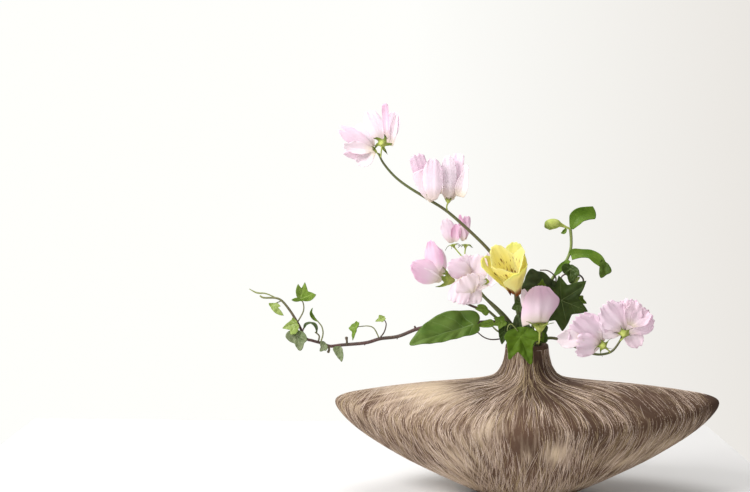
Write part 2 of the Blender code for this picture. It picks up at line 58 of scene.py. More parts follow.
def along(rows, place):
    """Smooth value of evenly spaced rows at each place from 0 to 1 (Catmull-Rom)."""
    rows = np.asarray(rows, float)
    last = len(rows) - 1
    place = np.clip(np.asarray(place, float), 0, 1) * last
    index = np.minimum(place.astype(int), last - 1)
    t = (place - index).reshape(place.shape + (1,) * (rows.ndim - 1))
    padded = np.concatenate([[2 * rows[0] - rows[1]], rows, [2 * rows[-1] - rows[-2]]])
    p0, p1, p2, p3 = (padded[index + k] for k in range(4))
    bend = (2 * p0 - 5 * p1 + 4 * p2 - p3) * t**2 + (3 * p1 - p0 - 3 * p2 + p3) * t**3
    return 0.5 * (2 * p1 + (p2 - p0) * t + bend)


def swung(turn, side, other):
    """The direction at each turn, in radians, from side towards other."""
    return np.multiply.outer(np.cos(turn), side) + np.multiply.outer(np.sin(turn), other)


def soft_noise(points, size, shift=(0, 0, 0)):
    return np.array([noise.noise(Vector(point) / size + Vector(shift)) for point in points])


def grid_faces(rows, columns, closed=False):
    """Quads of a grid of points; closed joins the last column to the first."""
    row, column = np.meshgrid(np.arange(rows - 1), np.arange(columns - (not closed)), indexing="ij")
    a = (row * columns + column).ravel()
    b = (row * columns + (column + 1) % columns).ravel()
    return np.stack([a, b, b + columns, a + columns], 1)


def capped_faces(rows, columns):
    """Quads of a closed grid, and a fan from each end to one further point."""
    k = np.arange(columns)
    after, top, end = np.roll(k, -1), (rows - 1) * columns, np.full(columns, rows * columns)
    fans = [np.stack([after, k, end, end], 1), np.stack([k + top, after + top, end + 1, end + 1], 1)]
    return np.concatenate([grid_faces(rows, columns, closed=True), *fans])


class Body:
    """One piece, gathered from closed shells that share a material."""

    def __init__(self):
        self.points, self.faces, self.marks, self.count = [], [], {}, 0

    def add(self, points, faces, **marks):
        self.points.append(points)
        self.faces.append(faces + self.count)
        self.count += len(points)
        for mark, values in marks.items():
            values = np.asarray(values, float)
            if values.ndim == 0:
                values = np.full(len(points), values)
            self.marks.setdefault(mark, []).append(values)

    def add_sheet(self, points, faces, rims, thick, **marks):
        """An open surface closed into a thin shell; each rim lists an edge's points in turn."""
        a, b, c, d = (points[faces[:, corner]] for corner in range(4))
        normals = np.zeros_like(points)
        for corner in range(4):
            np.add.at(normals, faces[:, corner], np.cross(c - a, d - b))
        offset = unit(normals) * thick / 2
        count = len(points)
        walls = [np.stack([np.roll(rim, -1), rim, rim + count, np.roll(rim, -1) + count], 1) for rim in rims]
        marks = {mark: np.concatenate([v, v]) if np.ndim(v) else v for mark, v in marks.items()}
        faces = np.concatenate([faces, faces[:, ::-1] + count, *walls])
        self.add(np.concatenate([points + offset, points - offset]), faces, **marks)

    def add_grid(self, points, thick, **marks):
        """A thin shell through a grid of points, with marks of three numbers or one number for all."""
        rows, columns = points.shape[:2]
        index = np.arange(rows * columns).reshape(rows, columns)
        rim = np.concatenate([index[0, :-1], index[:-1, -1], index[-1, :0:-1], index[:0:-1, 0]])
        marks = {mark: v.reshape(-1, 3) if np.ndim(v) else v for mark, v in marks.items()}
        self.add_sheet(points.reshape(-1, 3), grid_faces(rows, columns), [rim], thick, **marks)

    def make(self, name, look, replaces=(), slot=None):
        mesh = bpy.data.meshes.new(name)
        corners = np.concatenate(self.faces).tolist()
        corners = [face[:3] if face[2] == face[3] else face for face in corners]
        mesh.from_pydata((np.concatenate(self.points) * METRES).tolist(), [], corners)
        for mark, parts in self.marks.items():
            values = np.concatenate(parts).astype(np.float32)
            kind, field = ("FLOAT", "value") if values.ndim == 1 else ("FLOAT_VECTOR", "vector")
            mesh.attributes.new(mark, kind, "POINT").data.foreach_set(field, values.ravel())
        mesh.materials.append(look.material)
        mesh.shade_smooth()
        piece = bpy.data.objects.new(name, mesh)
        bpy.context.collection.objects.link(piece)
        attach(piece, "root")
        for node in replaces:
            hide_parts(node)


def tube(body, points, radii, sides=12, per_span=5, **marks):
    """A round closed stem through points; radii and marks are spread evenly along it."""
    place = np.linspace(0, 1, (len(points) - 1) * per_span + 1)
    route, radius = along(points, place), along(radii, place)
    ahead = unit(np.gradient(route, axis=0))
    # a narrower ring a little past each end of the route
    foot = route[0] - ahead[0] * radius[0] * END_REACH
    head = route[-1] + ahead[-1] * radius[-1] * END_REACH
    route = np.concatenate([[foot], route, [head]])
    radius, ahead, place = (np.concatenate([v[:1], v, v[-1:]]) for v in (radius, ahead, place))
    radius[[0, -1]] *= END_SIZE
    turn = np.linspace(0, math.tau, sides, endpoint=False)
    side = np.array((0.0, 1.0, 0.0))
    rings = []
    for here, way, reach in zip(route, ahead, radius):
        side = unit(side - way * side.dot(way))
        rings.append(here + reach * swung(turn, side, np.cross(way, side)))
    for mark, values in marks.items():
        values = along(values, place) if np.ndim(values) else np.full(len(place), values)
        marks[mark] = np.concatenate([np.repeat(values, sides), values[[0, -1]]])
    body.add(np.concatenate([*rings, [foot, head]]), capped_faces(len(rings), sides), **marks)


# ---- materials ----
def srgb(red, green, blue):
    """Linear colour from the usual 0 to 255 numbers."""
    return tuple(((c / 255 + 0.055) / 1.055) ** 2.4 for c in (red, green, blue))


class Nodes:
    """A node tree that is written as sums of sockets, numbers and colours."""

    def __init__(self, tree):
        self.tree = tree

    def feed(self, socket, value):
        if isinstance(value, bpy.types.NodeSocket):
            self.tree.links.new(value, socket)
        elif socket.type == "RGBA":
            socket.default_value = (*value, 1.0)
        else:
            socket.default_value = value

    def node(self, kind, inputs=(), **settings):
        made = self.tree.nodes.new(kind)
        for setting, value in settings.items():
            setattr(made, setting, value)
        for key, value in dict(inputs).items():
            self.feed(made.inputs[key], value)
        return made

    def mark(self, name, output="Fac"):
        """A mesh mark: Fac for one number, Vector for three."""
        return self.node("ShaderNodeAttribute", attribute_name=name).outputs[output]

    def parts(self, vector):
        return self.node("ShaderNodeSeparateXYZ", {0: vector}).outputs

    def joined(self, x, y, z):
        return self.node("ShaderNodeCombineXYZ", {0: x, 1: y, 2: z}).outputs[0]

    def stretched(self, vector, scale):
        return self.node("ShaderNodeMapping", {"Vector": vector, "Scale": scale}).outputs[0]

    def noise(self, vector, scale, detail=2.0, roughness=0.5):
        inputs = {"Vector": vector, "Scale": scale, "Detail": detail, "Roughness": roughness}
        return self.node("ShaderNodeTexNoise", inputs).outputs["Fac"]

    def patches(self, scale, detail=2.0):
        """Noise that is fixed to the piece."""
        return self.noise(self.node("ShaderNodeTexCoord").outputs["Object"], scale, detail)

    def maths(self, operation, first, second=0.0):
        return self.node("ShaderNodeMath", {0: first, 1: second}, operation=operation).outputs[0]

    def times(self, first, *others):
        for other in others:
            first = self.maths("MULTIPLY", first, other)
        return first

    def plus(self, first, second):
        return self.maths("ADD", first, second)

    def minus(self, first, second):
        return self.maths("SUBTRACT", first, second)

    def size_of(self, value):
        return self.maths("ABSOLUTE", value)

    def span(self, value, low=0.3, high=0.7, start=0.0, end=1.0):
        """Value from low to high, eased and laid out from start to end."""
        inputs = {0: value, 1: low, 2: high, 3: start, 4: end}
        return self.node("ShaderNodeMapRange", inputs, interpolation_type="SMOOTHSTEP").outputs[0]

    def mix(self, share, first, second):
        return self.node("ShaderNodeMix", {0: share, 6: first, 7: second}, data_type="RGBA").outputs[2]


class Surface(Nodes):
    """A Principled material whose colour, roughness and relief come from nodes, with its slot."""

    def __init__(self, name, slot, roughness=0.5, specular=0.5):
        self.material, self.slot = bpy.data.materials.new(name), slot
        self.material.use_nodes = True
        super().__init__(self.material.node_tree)
        self.shader = self.tree.nodes["Principled BSDF"]
        self.shader.inputs["Roughness"].default_value = roughness
        self.shader.inputs["Specular IOR Level"].default_value = specular

    def colour(self, value):
        self.feed(self.shader.inputs["Base Color"], value)

    def rough(self, pattern, low, high):
        self.feed(self.shader.inputs["Roughness"], self.span(pattern, start=low, end=high))

    def relief(self, height, distance, strength=1.0):
        bump = self.node("ShaderNodeBump", {"Height": height, "Distance": distance, "Strength": strength})
        self.feed(self.shader.inputs["Normal"], bump.outputs[0])

    def thin(self, share, colour):
        """Lets light through from behind, as a petal or leaf does."""
        back = self.node("ShaderNodeBsdfTranslucent", {"Color": colour})
        both = self.node("ShaderNodeMixShader", {0: share, 1: self.shader.outputs[0], 2: back.outputs[0]})
        self.feed(self.tree.nodes["Material Output"].inputs["Surface"], both.outputs[0])


def clay_material():
    s = Surface("brown_clay", "clay_body", 0.8, 0.3)
    flow = s.mark("flow", "Vector")
    grain = s.noise(s.stretched(flow, (90, 90, 16)), 1.0, 3.0)
    streak = s.noise(s.stretched(flow, (28, 28, 5)), 1.0, 4.0, 0.6)
    speckle = s.patches(900.0)
    brown = s.mix(s.span(s.patches(26.0), 0.35, 0.65), srgb(94, 70, 55), srgb(82, 60, 46))
    # the film mark is the clay's pale slip film, and also painted light on the lit left of the vase
    film = s.span(s.plus(s.mark("film"), s.span(streak, 0.3, 0.7, -0.22, 0.3)), 0.05, 0.95)
    coloured = s.mix(film, brown, s.mix(grain, srgb(198, 175, 148), srgb(214, 193, 166)))
    # painted shade: where the shade mark is strong the clay is darkened, as where shade falls, with a few
    # darker clay patches among it
    dark = s.times(s.mark("shade"), s.span(streak, 0.2, 0.8, 0.6, 1.0))
    coloured = s.mix(dark, coloured, srgb(66, 47, 36))
    s.colour(s.mix(s.span(speckle, 0.62, 0.75, 0.0, 0.35), coloured, srgb(60, 44, 34)))
    s.rough(speckle, 0.72, 0.9)
    s.relief(s.plus(grain, s.times(speckle, 0.5)), 0.0004, 0.5)
    return s


def scratch_material(name, light, deep):
    s = Surface(f"scratch_{name}", "clay_body", 0.85, 0.2)
    s.colour(s.mix(s.span(s.patches(60.0)), srgb(*light), srgb(*deep)))
    s.rough(s.patches(1200.0, 1.0), 0.75, 0.95)
    return s


def petal_material(name, base, body, blushed):
    """Petal marks are across from -1 to 1, along from 0 to 1, and blush."""
    s = Surface(name, name, 0.55, 0.25)
    across, length, blush = s.parts(s.mark("petal", "Vector"))
    veins = s.noise(s.joined(s.times(across, 5.0), length, s.mark("seed")), 2.0, 1.0)
    pale = s.mix(s.span(length, 0.0, 0.4), srgb(*base), srgb(*body))
    edge = s.span(s.maths("MAXIMUM", length, s.size_of(across)), 0.3, 1.0, 0.55, 1.0)
    patch = s.span(s.patches(45.0, 1.0), 0.25, 0.75, 0.6, 1.25)
    tint = s.mix(s.times(blush, edge, patch, s.span(length, 0.0, 0.35)), pale, srgb(*blushed))
    tint = s.mix(s.span(veins, 0.45, 0.8, 0.0, 0.16), tint, s.mix(0.5, srgb(*blushed), tint))
    s.colour(tint)
    s.relief(veins, 0.0002, 0.3)
    s.thin(0.38, tint)
    return s


def stem_material(name, slot, colour, other):
    s = Surface(name, slot, 0.45, 0.4)
    place = s.node("ShaderNodeTexCoord").outputs["Object"]
    length = s.noise(s.stretched(place, (1, 1, 0.15)), 700.0)
    share = s.span(s.plus(s.patches(45.0), s.times(length, 0.4)), 0.45, 0.95)
    s.colour(s.mix(share, srgb(*colour), srgb(*other)))
    s.rough(length, 0.4, 0.55)
    s.relief(length, 0.0003, 0.4)
    return s


def calyx_material():
    """Yellow-green at the cup, darker to the points of the teeth."""
    s = Surface("calyx_green", "flower_stem", 0.55, 0.3)
    height, patch = s.mark("height"), s.patches(220.0)
    cup = s.mix(s.span(patch), srgb(216, 222, 128), srgb(192, 204, 104))
    tooth = s.mix(s.span(height, 0.6, 1.3), cup, srgb(146, 160, 78))
    s.colour(s.mix(s.span(height, 1.7, 2.5), tooth, srgb(84, 84, 40)))
    s.relief(patch, 0.0003, 0.4)
    s.thin(0.35, srgb(170, 190, 70))
    return s


def leaf_material(name, slot, colour, other, vein, lines, glow=0.25, roughness=0.5, raised=0.35):
    """Lines are veins: the place on the midrib they leave, their angle and their width."""
    s = Surface(f"{name}_leaf", f"leaf_{slot}", roughness, 0.3)
    x, y, _ = s.parts(s.mark("spot", "Vector"))
    strongest = None
    for start, angle, width in lines:
        c, sine, up = math.cos(math.radians(angle)), math.sin(math.radians(angle)), s.minus(y, start)
        reach = s.plus(s.times(x, sine), s.times(up, c))
        aside = s.minus(s.times(x, c), s.times(up, sine))
        room = s.minus(width, s.times(reach, width * 0.8))
        share = s.span(s.minus(room, s.size_of(aside)), 0.0, 0.012)
        share = s.times(share, s.maths("GREATER_THAN", reach, 0.0))
        strongest = share if strongest is None else s.maths("MAXIMUM", strongest, share)
    patch, fine = s.span(s.patches(70.0)), s.patches(500.0, 1.0)
    s.colour(s.mix(s.times(strongest, 0.7), s.mix(patch, srgb(*colour), srgb(*other)), srgb(*vein)))
    s.rough(fine, roughness - 0.06, roughness + 0.1)
    s.relief(s.minus(s.times(fine, 0.12), strongest), 0.0004, raised)
    s.thin(glow, s.mix(patch, srgb(130, 160, 30), srgb(96, 130, 20)))
    return s


def bark_material():
    s = Surface("vine_bark", "vine_bark", 0.6, 0.35)
    rings = s.patches(500.0, 3.0)
    bark = s.mix(s.span(s.patches(60.0), 0.35, 0.65), srgb(88, 62, 61), srgb(76, 63, 57))
    bark = s.mix(s.span(rings, 0.5, 0.75, 0.0, 0.6), bark, srgb(132, 108, 92))
    s.colour(s.mix(s.span(s.mark("young"), 0.0, 1.0), bark, srgb(138, 146, 88)))
    s.relief(rings, 0.0006, 0.6)
    return s


def tepal_material():
    """Marks as for a petal, with 1 in the third place for a streaked inner tepal."""
    s = Surface("yellow_tepal", "tepal_yellow", 0.45, 0.3)
    across, length, inner = s.parts(s.mark("petal", "Vector"))
    dash = s.joined(s.times(across, 7.0), s.times(length, 2.6), s.mark("seed"))
    throat = s.times(s.span(length, 0.4, 0.5), s.span(length, 0.82, 0.7))
    streaks = s.times(s.span(s.noise(dash, 2.0, 1.0), 0.6, 0.66), throat, inner)
    yellow = s.mix(s.span(s.size_of(across), 0.2, 1.0), srgb(255, 247, 170), srgb(255, 252, 196))
    outer_tip = s.times(s.span(length, 0.7, 1.0, 0.0, 0.6), s.minus(1.0, inner))
    yellow = s.mix(outer_tip, yellow, srgb(226, 230, 120))
    yellow = s.mix(s.span(length, 0.26, 0.05), yellow, srgb(168, 96, 30))
    yellow = s.mix(streaks, yellow, srgb(150, 106, 34))
    s.colour(yellow)
    s.relief(s.noise(dash, 4.0, 2.0), 0.0003, 0.4)
    s.thin(0.45, yellow)
    return s


PALMATE = (
    (0, 0, 0.02), (0, 55, 0.017), (0, -55, 0.017), (0, 115, 0.014), (0, -115, 0.014), (0.35, 40, 0.009),
    (0.35, -40, 0.009), (0.6, 40, 0.007), (0.6, -40, 0.007),
)
FEW_VEINS = ((0, 0, 0.04), (0, 50, 0.032), (0, -50, 0.032))
PINNATE = (
    (0, 0, 0.014), (0, 62, 0.01), (0, -48, 0.008), (0.14, 46, 0.009), (0.16, -36, 0.007), (0.32, 40, 0.008),
    (0.34, -30, 0.006), (0.52, 36, 0.006), (0.54, -26, 0.005),
)
MIDRIB = ((0, 0, 0.012),)

CLAY = clay_material()
SCRATCH_CREAM = scratch_material("cream", (216, 198, 184), (198, 178, 162))
SCRATCH_BEIGE = scratch_material("beige", (192, 170, 152), (172, 150, 134))
SCRATCH_TAN = scratch_material("tan", (164, 144, 112), (146, 126, 98))
PETAL_PINK = petal_material("petal_pink", (236, 222, 216), (255, 246, 252), (242, 196, 224))
PETAL_CREAM = petal_material("petal_cream", (236, 224, 208), (254, 244, 248), (245, 214, 232))
STEM_GREEN = stem_material("flower_stem", "flower_stem", (98, 110, 64), (98, 94, 62))
CALYX_GREEN = calyx_material()
SHOOT_GREEN = stem_material("shoot_stem", "shoot_green", (140, 150, 88), (118, 136, 70))
TEPAL_YELLOW = tepal_material()
ANTHER = stem_material("anther", "anther_brown", (126, 92, 40), (160, 130, 60))
BARK = bark_material()
# name, slot, colour, other colour, vein colour and veins, then light let through, roughness and relief
LEAF_LOOKS = {name: leaf_material(name, *look) for name, *look in (
    ("big", "green", (86, 116, 40), (106, 132, 56), (150, 176, 112), PINNATE),
    ("bright", "green", (82, 112, 14), (96, 126, 20), (122, 150, 50), PALMATE, 0.3, 0.6),
    ("dark", "dark", (46, 64, 12), (60, 80, 20), (140, 160, 100), PALMATE, 0.06, 0.55),
    ("shaded", "dark", (56, 70, 34), (76, 92, 52), (98, 112, 74), PALMATE, 0.05),
    ("young", "young", (146, 168, 78), (172, 190, 108), (190, 204, 140), FEW_VEINS, 0.3, 0.5, 0.08),
    ("lime", "young", (98, 130, 28), (130, 158, 60), (160, 182, 96), FEW_VEINS, 0.3, 0.5, 0.08),
    ("grey", "green", (116, 130, 88), (142, 150, 114), (160, 166, 132), FEW_VEINS, 0.25, 0.5, 0.08),
    ("shoot", "green", (88, 122, 24), (114, 144, 44), (130, 160, 80), MIDRIB, 0.3),
    # darker greens for the folded shoot tip: painted shade on its underside
    ("folded", "green", (58, 80, 10), (76, 98, 24), (100, 116, 50), MIDRIB, 0.1),
)}

# ---- vase ----
# half length and its height, half depth and its height, how pointed the plan is
VASE_OUTSIDE = (
    (49, 0, 30, 0, 0.15), (65, 7.5, 41, 6, 0.25), (97, 21.5, 59, 21, 0.4), (132, 38.5, 72, 39, 0.5),
    (168, 60.5, 81, 57, 0.6), (190, 79, 84.5, 69, 0.6), (200, 95, 85, 79, 0.6), (191, 103.5, 82, 88, 0.6),
    (163, 109, 73, 98.5, 0.5), (122, 114, 59, 107.5, 0.4), (80, 117, 44, 114, 0.25),
    (50, 119.5, 34, 119.5, 0.1), (34, 124.5, 28, 126, 0), (26.3, 134.5, 24.6, 135, 0),
    (23.2, 146, 22.9, 146, 0), (22.2, 155, 22.2, 155, 0),
)
VASE_WALL = 5.0
VASE_FLOOR = (42, 7, 24, 7, 0.15)
MOUTH_LIP = ((22.2, 155), (21.6, 156.7), (19.8, 157.5), (18, 156.7), (17.2, 155))
VASE_SIDES, VASE_ROWS, LIP_ROWS, INSIDE_ROWS = 168, 96, 12, 40
# how far the clay's grain runs from foot to floor, against a radius of 1 round the vase
FLOW_HEIGHT = 1.5

# places on the front, as x, z, half width, half height and strength
# pale slip film, and painted light: the upward-facing left shoulder and the left of the body, where the light
# falls, are made paler
PALE_FILM_AND_LIGHT = (
    (-100, 111, 36, 8, 0.68), (-186, 94, 14, 20, 0.3), (142, 58, 26, 13, 0.5), (27, 60, 12, 14, 0.85),
    (-44, 84, 18, 16, 0.35), (-18, 138, 6, 20, 0.1), (-100, 20, 40, 8, 0.5), (96, 18, 40, 8, 0.45),
    (78, 56, 14, 18, 0.25), (-165, 56, 14, 10, 0.3), (0, 14, 90, 9, 0.3), (-120, 92, 66, 30, 0.22),
    (-72, 46, 26, 22, 0.4), (-142, 112, 20, 12, 0.25), (100, 44, 26, 10, 0.45), (-4, 56, 12, 8, 0.25),
)
# painted shade and darker clay: round the neck's root, under the plants and on the right of the body, away
# from the light, the clay is darkened where shade falls; a few spots, such as the diamond under the neck, are
# darker clay
SHADE_AND_DARK_CLAY = (
    (196, 93, 16, 16, 0.9), (14, 140, 10, 22, 0.75), (26, 66, 16, 16, 0.1), (-58, 108, 16, 9, 0.4),
    (120, 101, 62, 12, 0.6), (66, 80, 30, 14, 0.5), (0, 3, 60, 5, 0.3), (10, 96, 16, 14, 0.3),
    (-10, 72, 16, 9, 0.3), (32, 118, 30, 16, 0.9), (-46, 118, 16, 10, 0.6), (-4, 122, 24, 18, 0.7),
)
# bare patches with few scratches, and painted shade: round the neck's root and on its right side the pale
# scratches are thinned where shade falls
BARE_AND_SHADED = (
    (-10, 71, 13, 7, 2.6), (198, 94, 14, 16, 1.2), (-4, 46, 20, 10, 0.35), (11, 148, 7, 12, 1.2),
    (120, 98, 60, 12, 0.4), (-104, 113, 30, 6, 0.7), (-58, 108, 14, 8, 0.4), (60, 76, 24, 10, 0.4),
    (34, 114, 26, 12, 0.55), (-46, 119, 14, 10, 0.4), (-4, 122, 18, 14, 0.2),
)
THICK_PALE = (
    (-46, 84, 22, 22, 1.2), (-130, 86, 45, 14, 1.2), (38, 48, 10, 18, 2.2), (-18, 136, 7, 18, 0.2),
    (-30, 40, 26, 16, 0.7), (100, 84, 50, 14, 0.3), (0, 12, 110, 8, 0.7), (0, 90, 26, 8, 0.3),
    (-72, 46, 26, 24, 1.1), (-120, 76, 60, 34, 0.4), (8, 122, 28, 18, -0.4),
)
THICK_TAN = (
    (96, 56, 36, 22, 1.2), (142, 60, 26, 13, 1.2), (0, 14, 110, 10, 0.8), (-186, 94, 14, 20, 0.8),
    (60, 104, 40, 10, 0.3), (-18, 138, 9, 20, 0.5), (-110, 70, 70, 40, 0.4), (6, 122, 26, 16, 1),
)
# a small step of turn or place, a scratch's points, and how strongly the bare and shaded spots must touch a
# place for it to lose its scratches
NEAR, SCRATCH_POINTS, TOO_BARE = 0.002, 10, 1.1
# scratches start within LOWEST and HIGHEST of the way from foot to mouth
LOWEST, HIGHEST = 0.03, 0.985
# half a ridge's width at its very ends, and how deep its edges lie in the clay
RIDGE_END, RIDGE_ROOT = 0.03, 0.06


def vase_ring(rows, turn):
    """Points of profile rows at each turn round the plan."""
    length, length_z, depth, depth_z, pointed = np.moveaxis(rows, -1, 0)
    c, s = np.cos(turn), np.sin(turn)
    y = depth * s * np.abs(s) ** np.maximum(pointed, 0)
    return np.stack([length * c, y, length_z * c**2 + depth_z * s**2], -1)


def vase_point(turn, place):
    """Where the outside is: turn goes round the plan, place from foot to mouth is 0 to 1."""
    return vase_ring(along(VASE_OUTSIDE, place), turn)


def spread_of(points, spots):
    """How strongly soft spots on the front touch each point; the back has them turned half round."""
    x, y, z = np.moveaxis(points, -1, 0)
    back = np.clip(y / 30, 0, 1)
    total = np.zeros(x.shape)
    for at_x, at_z, half_x, half_z, strength in spots:
        level = strength * np.exp(-(((z - at_z) / half_z) ** 2))
        total += level * (1 - back) * np.exp(-(((x - at_x) / half_x) ** 2))
        total += level * back * np.exp(-(((x + at_x) / half_x) ** 2))
    return total


def inset_row(rows, index):
    """One profile row moved inwards by the wall, square to the side line and the front line."""
    before, after = rows[max(index - 1, 0)], rows[min(index + 1, len(rows) - 1)]
    length, length_z, depth, depth_z, pointed = rows[index]
    side_way, front_way = unit(after[:2] - before[:2]), unit(after[2:4] - before[2:4])
    return (length - side_way[1] * VASE_WALL, length_z + side_way[0] * VASE_WALL,
            depth - front_way[1] * VASE_WALL, depth_z + front_way[0] * VASE_WALL, pointed)


def build_vase():
    coarse = along(VASE_OUTSIDE, np.linspace(0, 1, 2 * len(VASE_OUTSIDE) - 1))
    # from the neck down, every other row between the mouth and the foot
    inside = [inset_row(coarse, i) for i in range(len(coarse) - 2, 3, -2)] + [VASE_FLOOR]
    turn = np.linspace(0, math.tau, VASE_SIDES, endpoint=False)
    lip = along([(r, z, r, z, 0) for r, z in MOUTH_LIP], np.linspace(0, 1, LIP_ROWS + 1))[1:]
    rows = np.concatenate([along(VASE_OUTSIDE, np.linspace(0, 1, VASE_ROWS)), lip,
                           along(inside, np.linspace(0, 1, INSIDE_ROWS))])
    grid = vase_ring(rows[:, None], turn).reshape(-1, 3)
    points = np.concatenate([grid, [(0, 0, 0), (0, 0, VASE_FLOOR[1])]])
    height = np.repeat(np.linspace(0, FLOW_HEIGHT, len(rows)), VASE_SIDES)
    height = np.concatenate([height, [0, FLOW_HEIGHT]])
    around = np.concatenate([np.tile(turn, len(rows)), [0, 0]])
    body = Body()
    # the film mark carries painted light and the shade mark painted shade, along with the clay's own pale
    # film and darker patches
    body.add(points, capped_faces(len(rows), VASE_SIDES), film=spread_of(points, PALE_FILM_AND_LIGHT),
             shade=spread_of(points, SHADE_AND_DARK_CLAY), flow=np.stack([np.cos(around), np.sin(around), height], -1))
    body.make("stoneware_vase", CLAY, ["vase"])


def scratch_way(turn, place, lean):
    """Change of turn and place for a millimetre along the scratches, and the outward direction.

    Scratches climb from the foot to the neck. Towards both ends they run more across the vase,
    and low under the middle of the front and back they hang almost straight.
    """
    point = vase_point(turn, place)
    around = (vase_point(turn + NEAR, place) - vase_point(turn - NEAR, place)) / (2 * NEAR)
    upward = (vase_point(turn, place + NEAR) - vase_point(turn, place - NEAR)) / (2 * NEAR)
    outward = unit(np.cross(around, upward))
    crosswise = unit(np.cross(outward, (1.0, 0.0, 0.0)) * -np.sign(point[:, 1:2]))
    far = np.abs(point[:, 0])
    # how surely a place is above the turn line, and how surely it is under the middle
    above = np.clip((place - 0.38) / 0.12, 0, 1)
    below = np.clip((90 - far) / 45, 0, 1) * np.clip((74 - point[:, 2]) / 12, 0, 1)
    share = np.maximum((0.5 + 0.2 * above) * np.clip((far - 50) / 60, 0, 1), 0.88 * below)[:, None]
    aim = unit(upward) * (1 - share) + crosswise * share
    aim = unit(aim - outward * np.sum(aim * outward, axis=-1, keepdims=True))
    aim = aim * np.cos(lean)[:, None] + np.cross(outward, aim) * np.sin(lean)[:, None]
    g11, g12, g22 = np.sum(around * around, -1), np.sum(around * upward, -1), np.sum(upward * upward, -1)
    r1, r2 = np.sum(aim * around, -1), np.sum(aim * upward, -1)
    size = np.maximum(g11 * g22 - g12**2, 1e-3)
    return (g22 * r1 - g12 * r2) / size, (g11 * r2 - g12 * r1) / size, outward


def build_scratches(name, look, count, seed, length, widths, raised, thick):
    """Fine ridges of clay that a comb has left, each tapered at both ends."""
    rng = np.random.default_rng(seed)
    tries = count * 10
    turn, place = rng.uniform(0, math.tau, tries), rng.uniform(LOWEST, HIGHEST, tries)
    start = vase_point(turn, place)
    upward = (vase_point(turn, place + NEAR) - start) / NEAR
    around = (vase_point(turn + NEAR, place) - start) / NEAR
    cloud = soft_noise(start, 16) + 0.6 * soft_noise(start, 6)
    wanted = np.maximum(0.5 + 0.8 * cloud + spread_of(start, thick) - spread_of(start, BARE_AND_SHADED), 0.0)
    chance = np.linalg.norm(np.cross(upward, around), axis=1) * wanted
    keep = rng.choice(tries, count, replace=False, p=chance / np.sum(chance))
    turn, place = turn[keep], place[keep]
    stride = rng.gamma(4.0, length / 4.0, count) / (SCRATCH_POINTS - 1)
    # neighbours lean alike, each scratch a little in its own way, and some are bent
    drift = soft_noise(vase_point(turn, place), 34, (seed, 0, 0))
    lean = np.radians(16 * drift + rng.normal(0, 5.5, count))
    bend = np.radians(rng.normal(0, 1.1, count))
    middle, outward = [], []
    for step in range(SCRATCH_POINTS):
        turn_rate, place_rate, normal = scratch_way(turn, place, lean + bend * step)
        middle.append(vase_point(turn, place))
        outward.append(normal)
        turn = turn + turn_rate * stride
        place = np.clip(place + place_rate * stride, 0.012, HIGHEST)
    middle, outward = np.stack(middle, 1), np.stack(outward, 1)
    clear = spread_of(middle, BARE_AND_SHADED).max(axis=1) < TOO_BARE
    middle, outward, count = middle[clear], outward[clear], int(clear.sum())
    taper = 1 - np.abs(np.linspace(-1, 1, SCRATCH_POINTS)) ** 3
    half = rng.uniform(*widths, count)[:, None] * taper + RIDGE_END
    beside = np.cross(unit(np.gradient(middle, axis=1)), outward) * half[..., None]
    low = middle - outward * RIDGE_ROOT
    points = np.stack([low - beside, middle + outward * raised, low + beside], 2).reshape(-1, 3)
    first = np.arange(count)[:, None, None] * SCRATCH_POINTS * 3
    body = Body()
    body.add(points, (grid_faces(SCRATCH_POINTS, 3) + first).reshape(-1, 4))
    body.make(f"{name}_scratches", look)


build_vase()
build_scratches("tan", SCRATCH_TAN, 3000, 8, 22, (0.16, 0.34), 0.08, THICK_TAN)
build_scratches("beige", SCRATCH_BEIGE, 3600, 9, 24, (0.12, 0.27), 0.11, THICK_PALE)
build_scratches("cream", SCRATCH_CREAM, 2000, 7, 28, (0.11, 0.25), 0.15, THICK_PALE)


# ---- blades: petals and leaves ----
class Blade:
    """Bends a flat outline: it rolls across its width and curls along its length.

    The blade runs from base to tip, and its upper side looks towards face. Across and along
    are angles in degrees: across lifts the edges towards face, along bends the tip away.
    """

    def __init__(self, base, tip, face, width, across=20, along=10):
        self.base = np.array(base, float)
        chord = np.array(tip, float) - self.base
        self.half_width, self.across = width / 2, math.radians(across) or 1e-4
        self.along = math.radians(along) or 1e-4
        half = self.along / 2
        self.length = np.linalg.norm(chord) * half / math.sin(half)
        ahead, up = unit(chord), np.array(face, float)
        up = unit(up - ahead * up.dot(ahead))
        self.side = np.cross(ahead, up)
        self.ahead = ahead * math.cos(half) + up * math.sin(half)
        self.up = up * math.cos(half) - ahead * math.sin(half)

    def rolled(self, x, lift):
        """How far x is sideways, and how high above the spine."""
        turn, radius = self.across * x / self.half_width, self.half_width / self.across
        return (radius * np.sin(turn))[..., None], (radius * (1 - np.cos(turn)) + lift)[..., None]

    def point(self, x, y, lift):
        sideways, rise = self.rolled(x, lift)
        bend, radius = (self.along * y / self.length)[..., None], self.length / self.along
        forward = np.sin(bend) * (radius + rise)
        upward = np.cos(bend) * rise - radius * (1 - np.cos(bend))
        return self.base + forward * self.ahead + upward * self.up + sideways * self.side


class Ribbon(Blade):
    """A blade whose spine follows a route, with its face turning from one way to another."""

    def __init__(self, route, faces, width, across):
        self.route, self.faces = np.array(route, float), np.array(faces, float)
        self.half_width, self.across = width / 2, math.radians(across)
        self.length = np.linalg.norm(np.diff(along(self.route, np.linspace(0, 1, 60)), axis=0), axis=1).sum()

    def point(self, x, y, lift):
        place = np.clip(y / self.length, 0, 1)
        before, after = (along(self.route, np.clip(place + step, 0, 1)) for step in (-0.02, 0.02))
        ahead = unit(after - before)
        side = unit(np.cross(ahead, along(self.faces, place)))
        sideways, rise = self.rolled(x, lift)
        return along(self.route, place) + side * sideways + np.cross(side, ahead) * rise


# a frill's length along a margin, and how high the lengthwise folds are
FRILL, FOLD = 6.0, 0.35


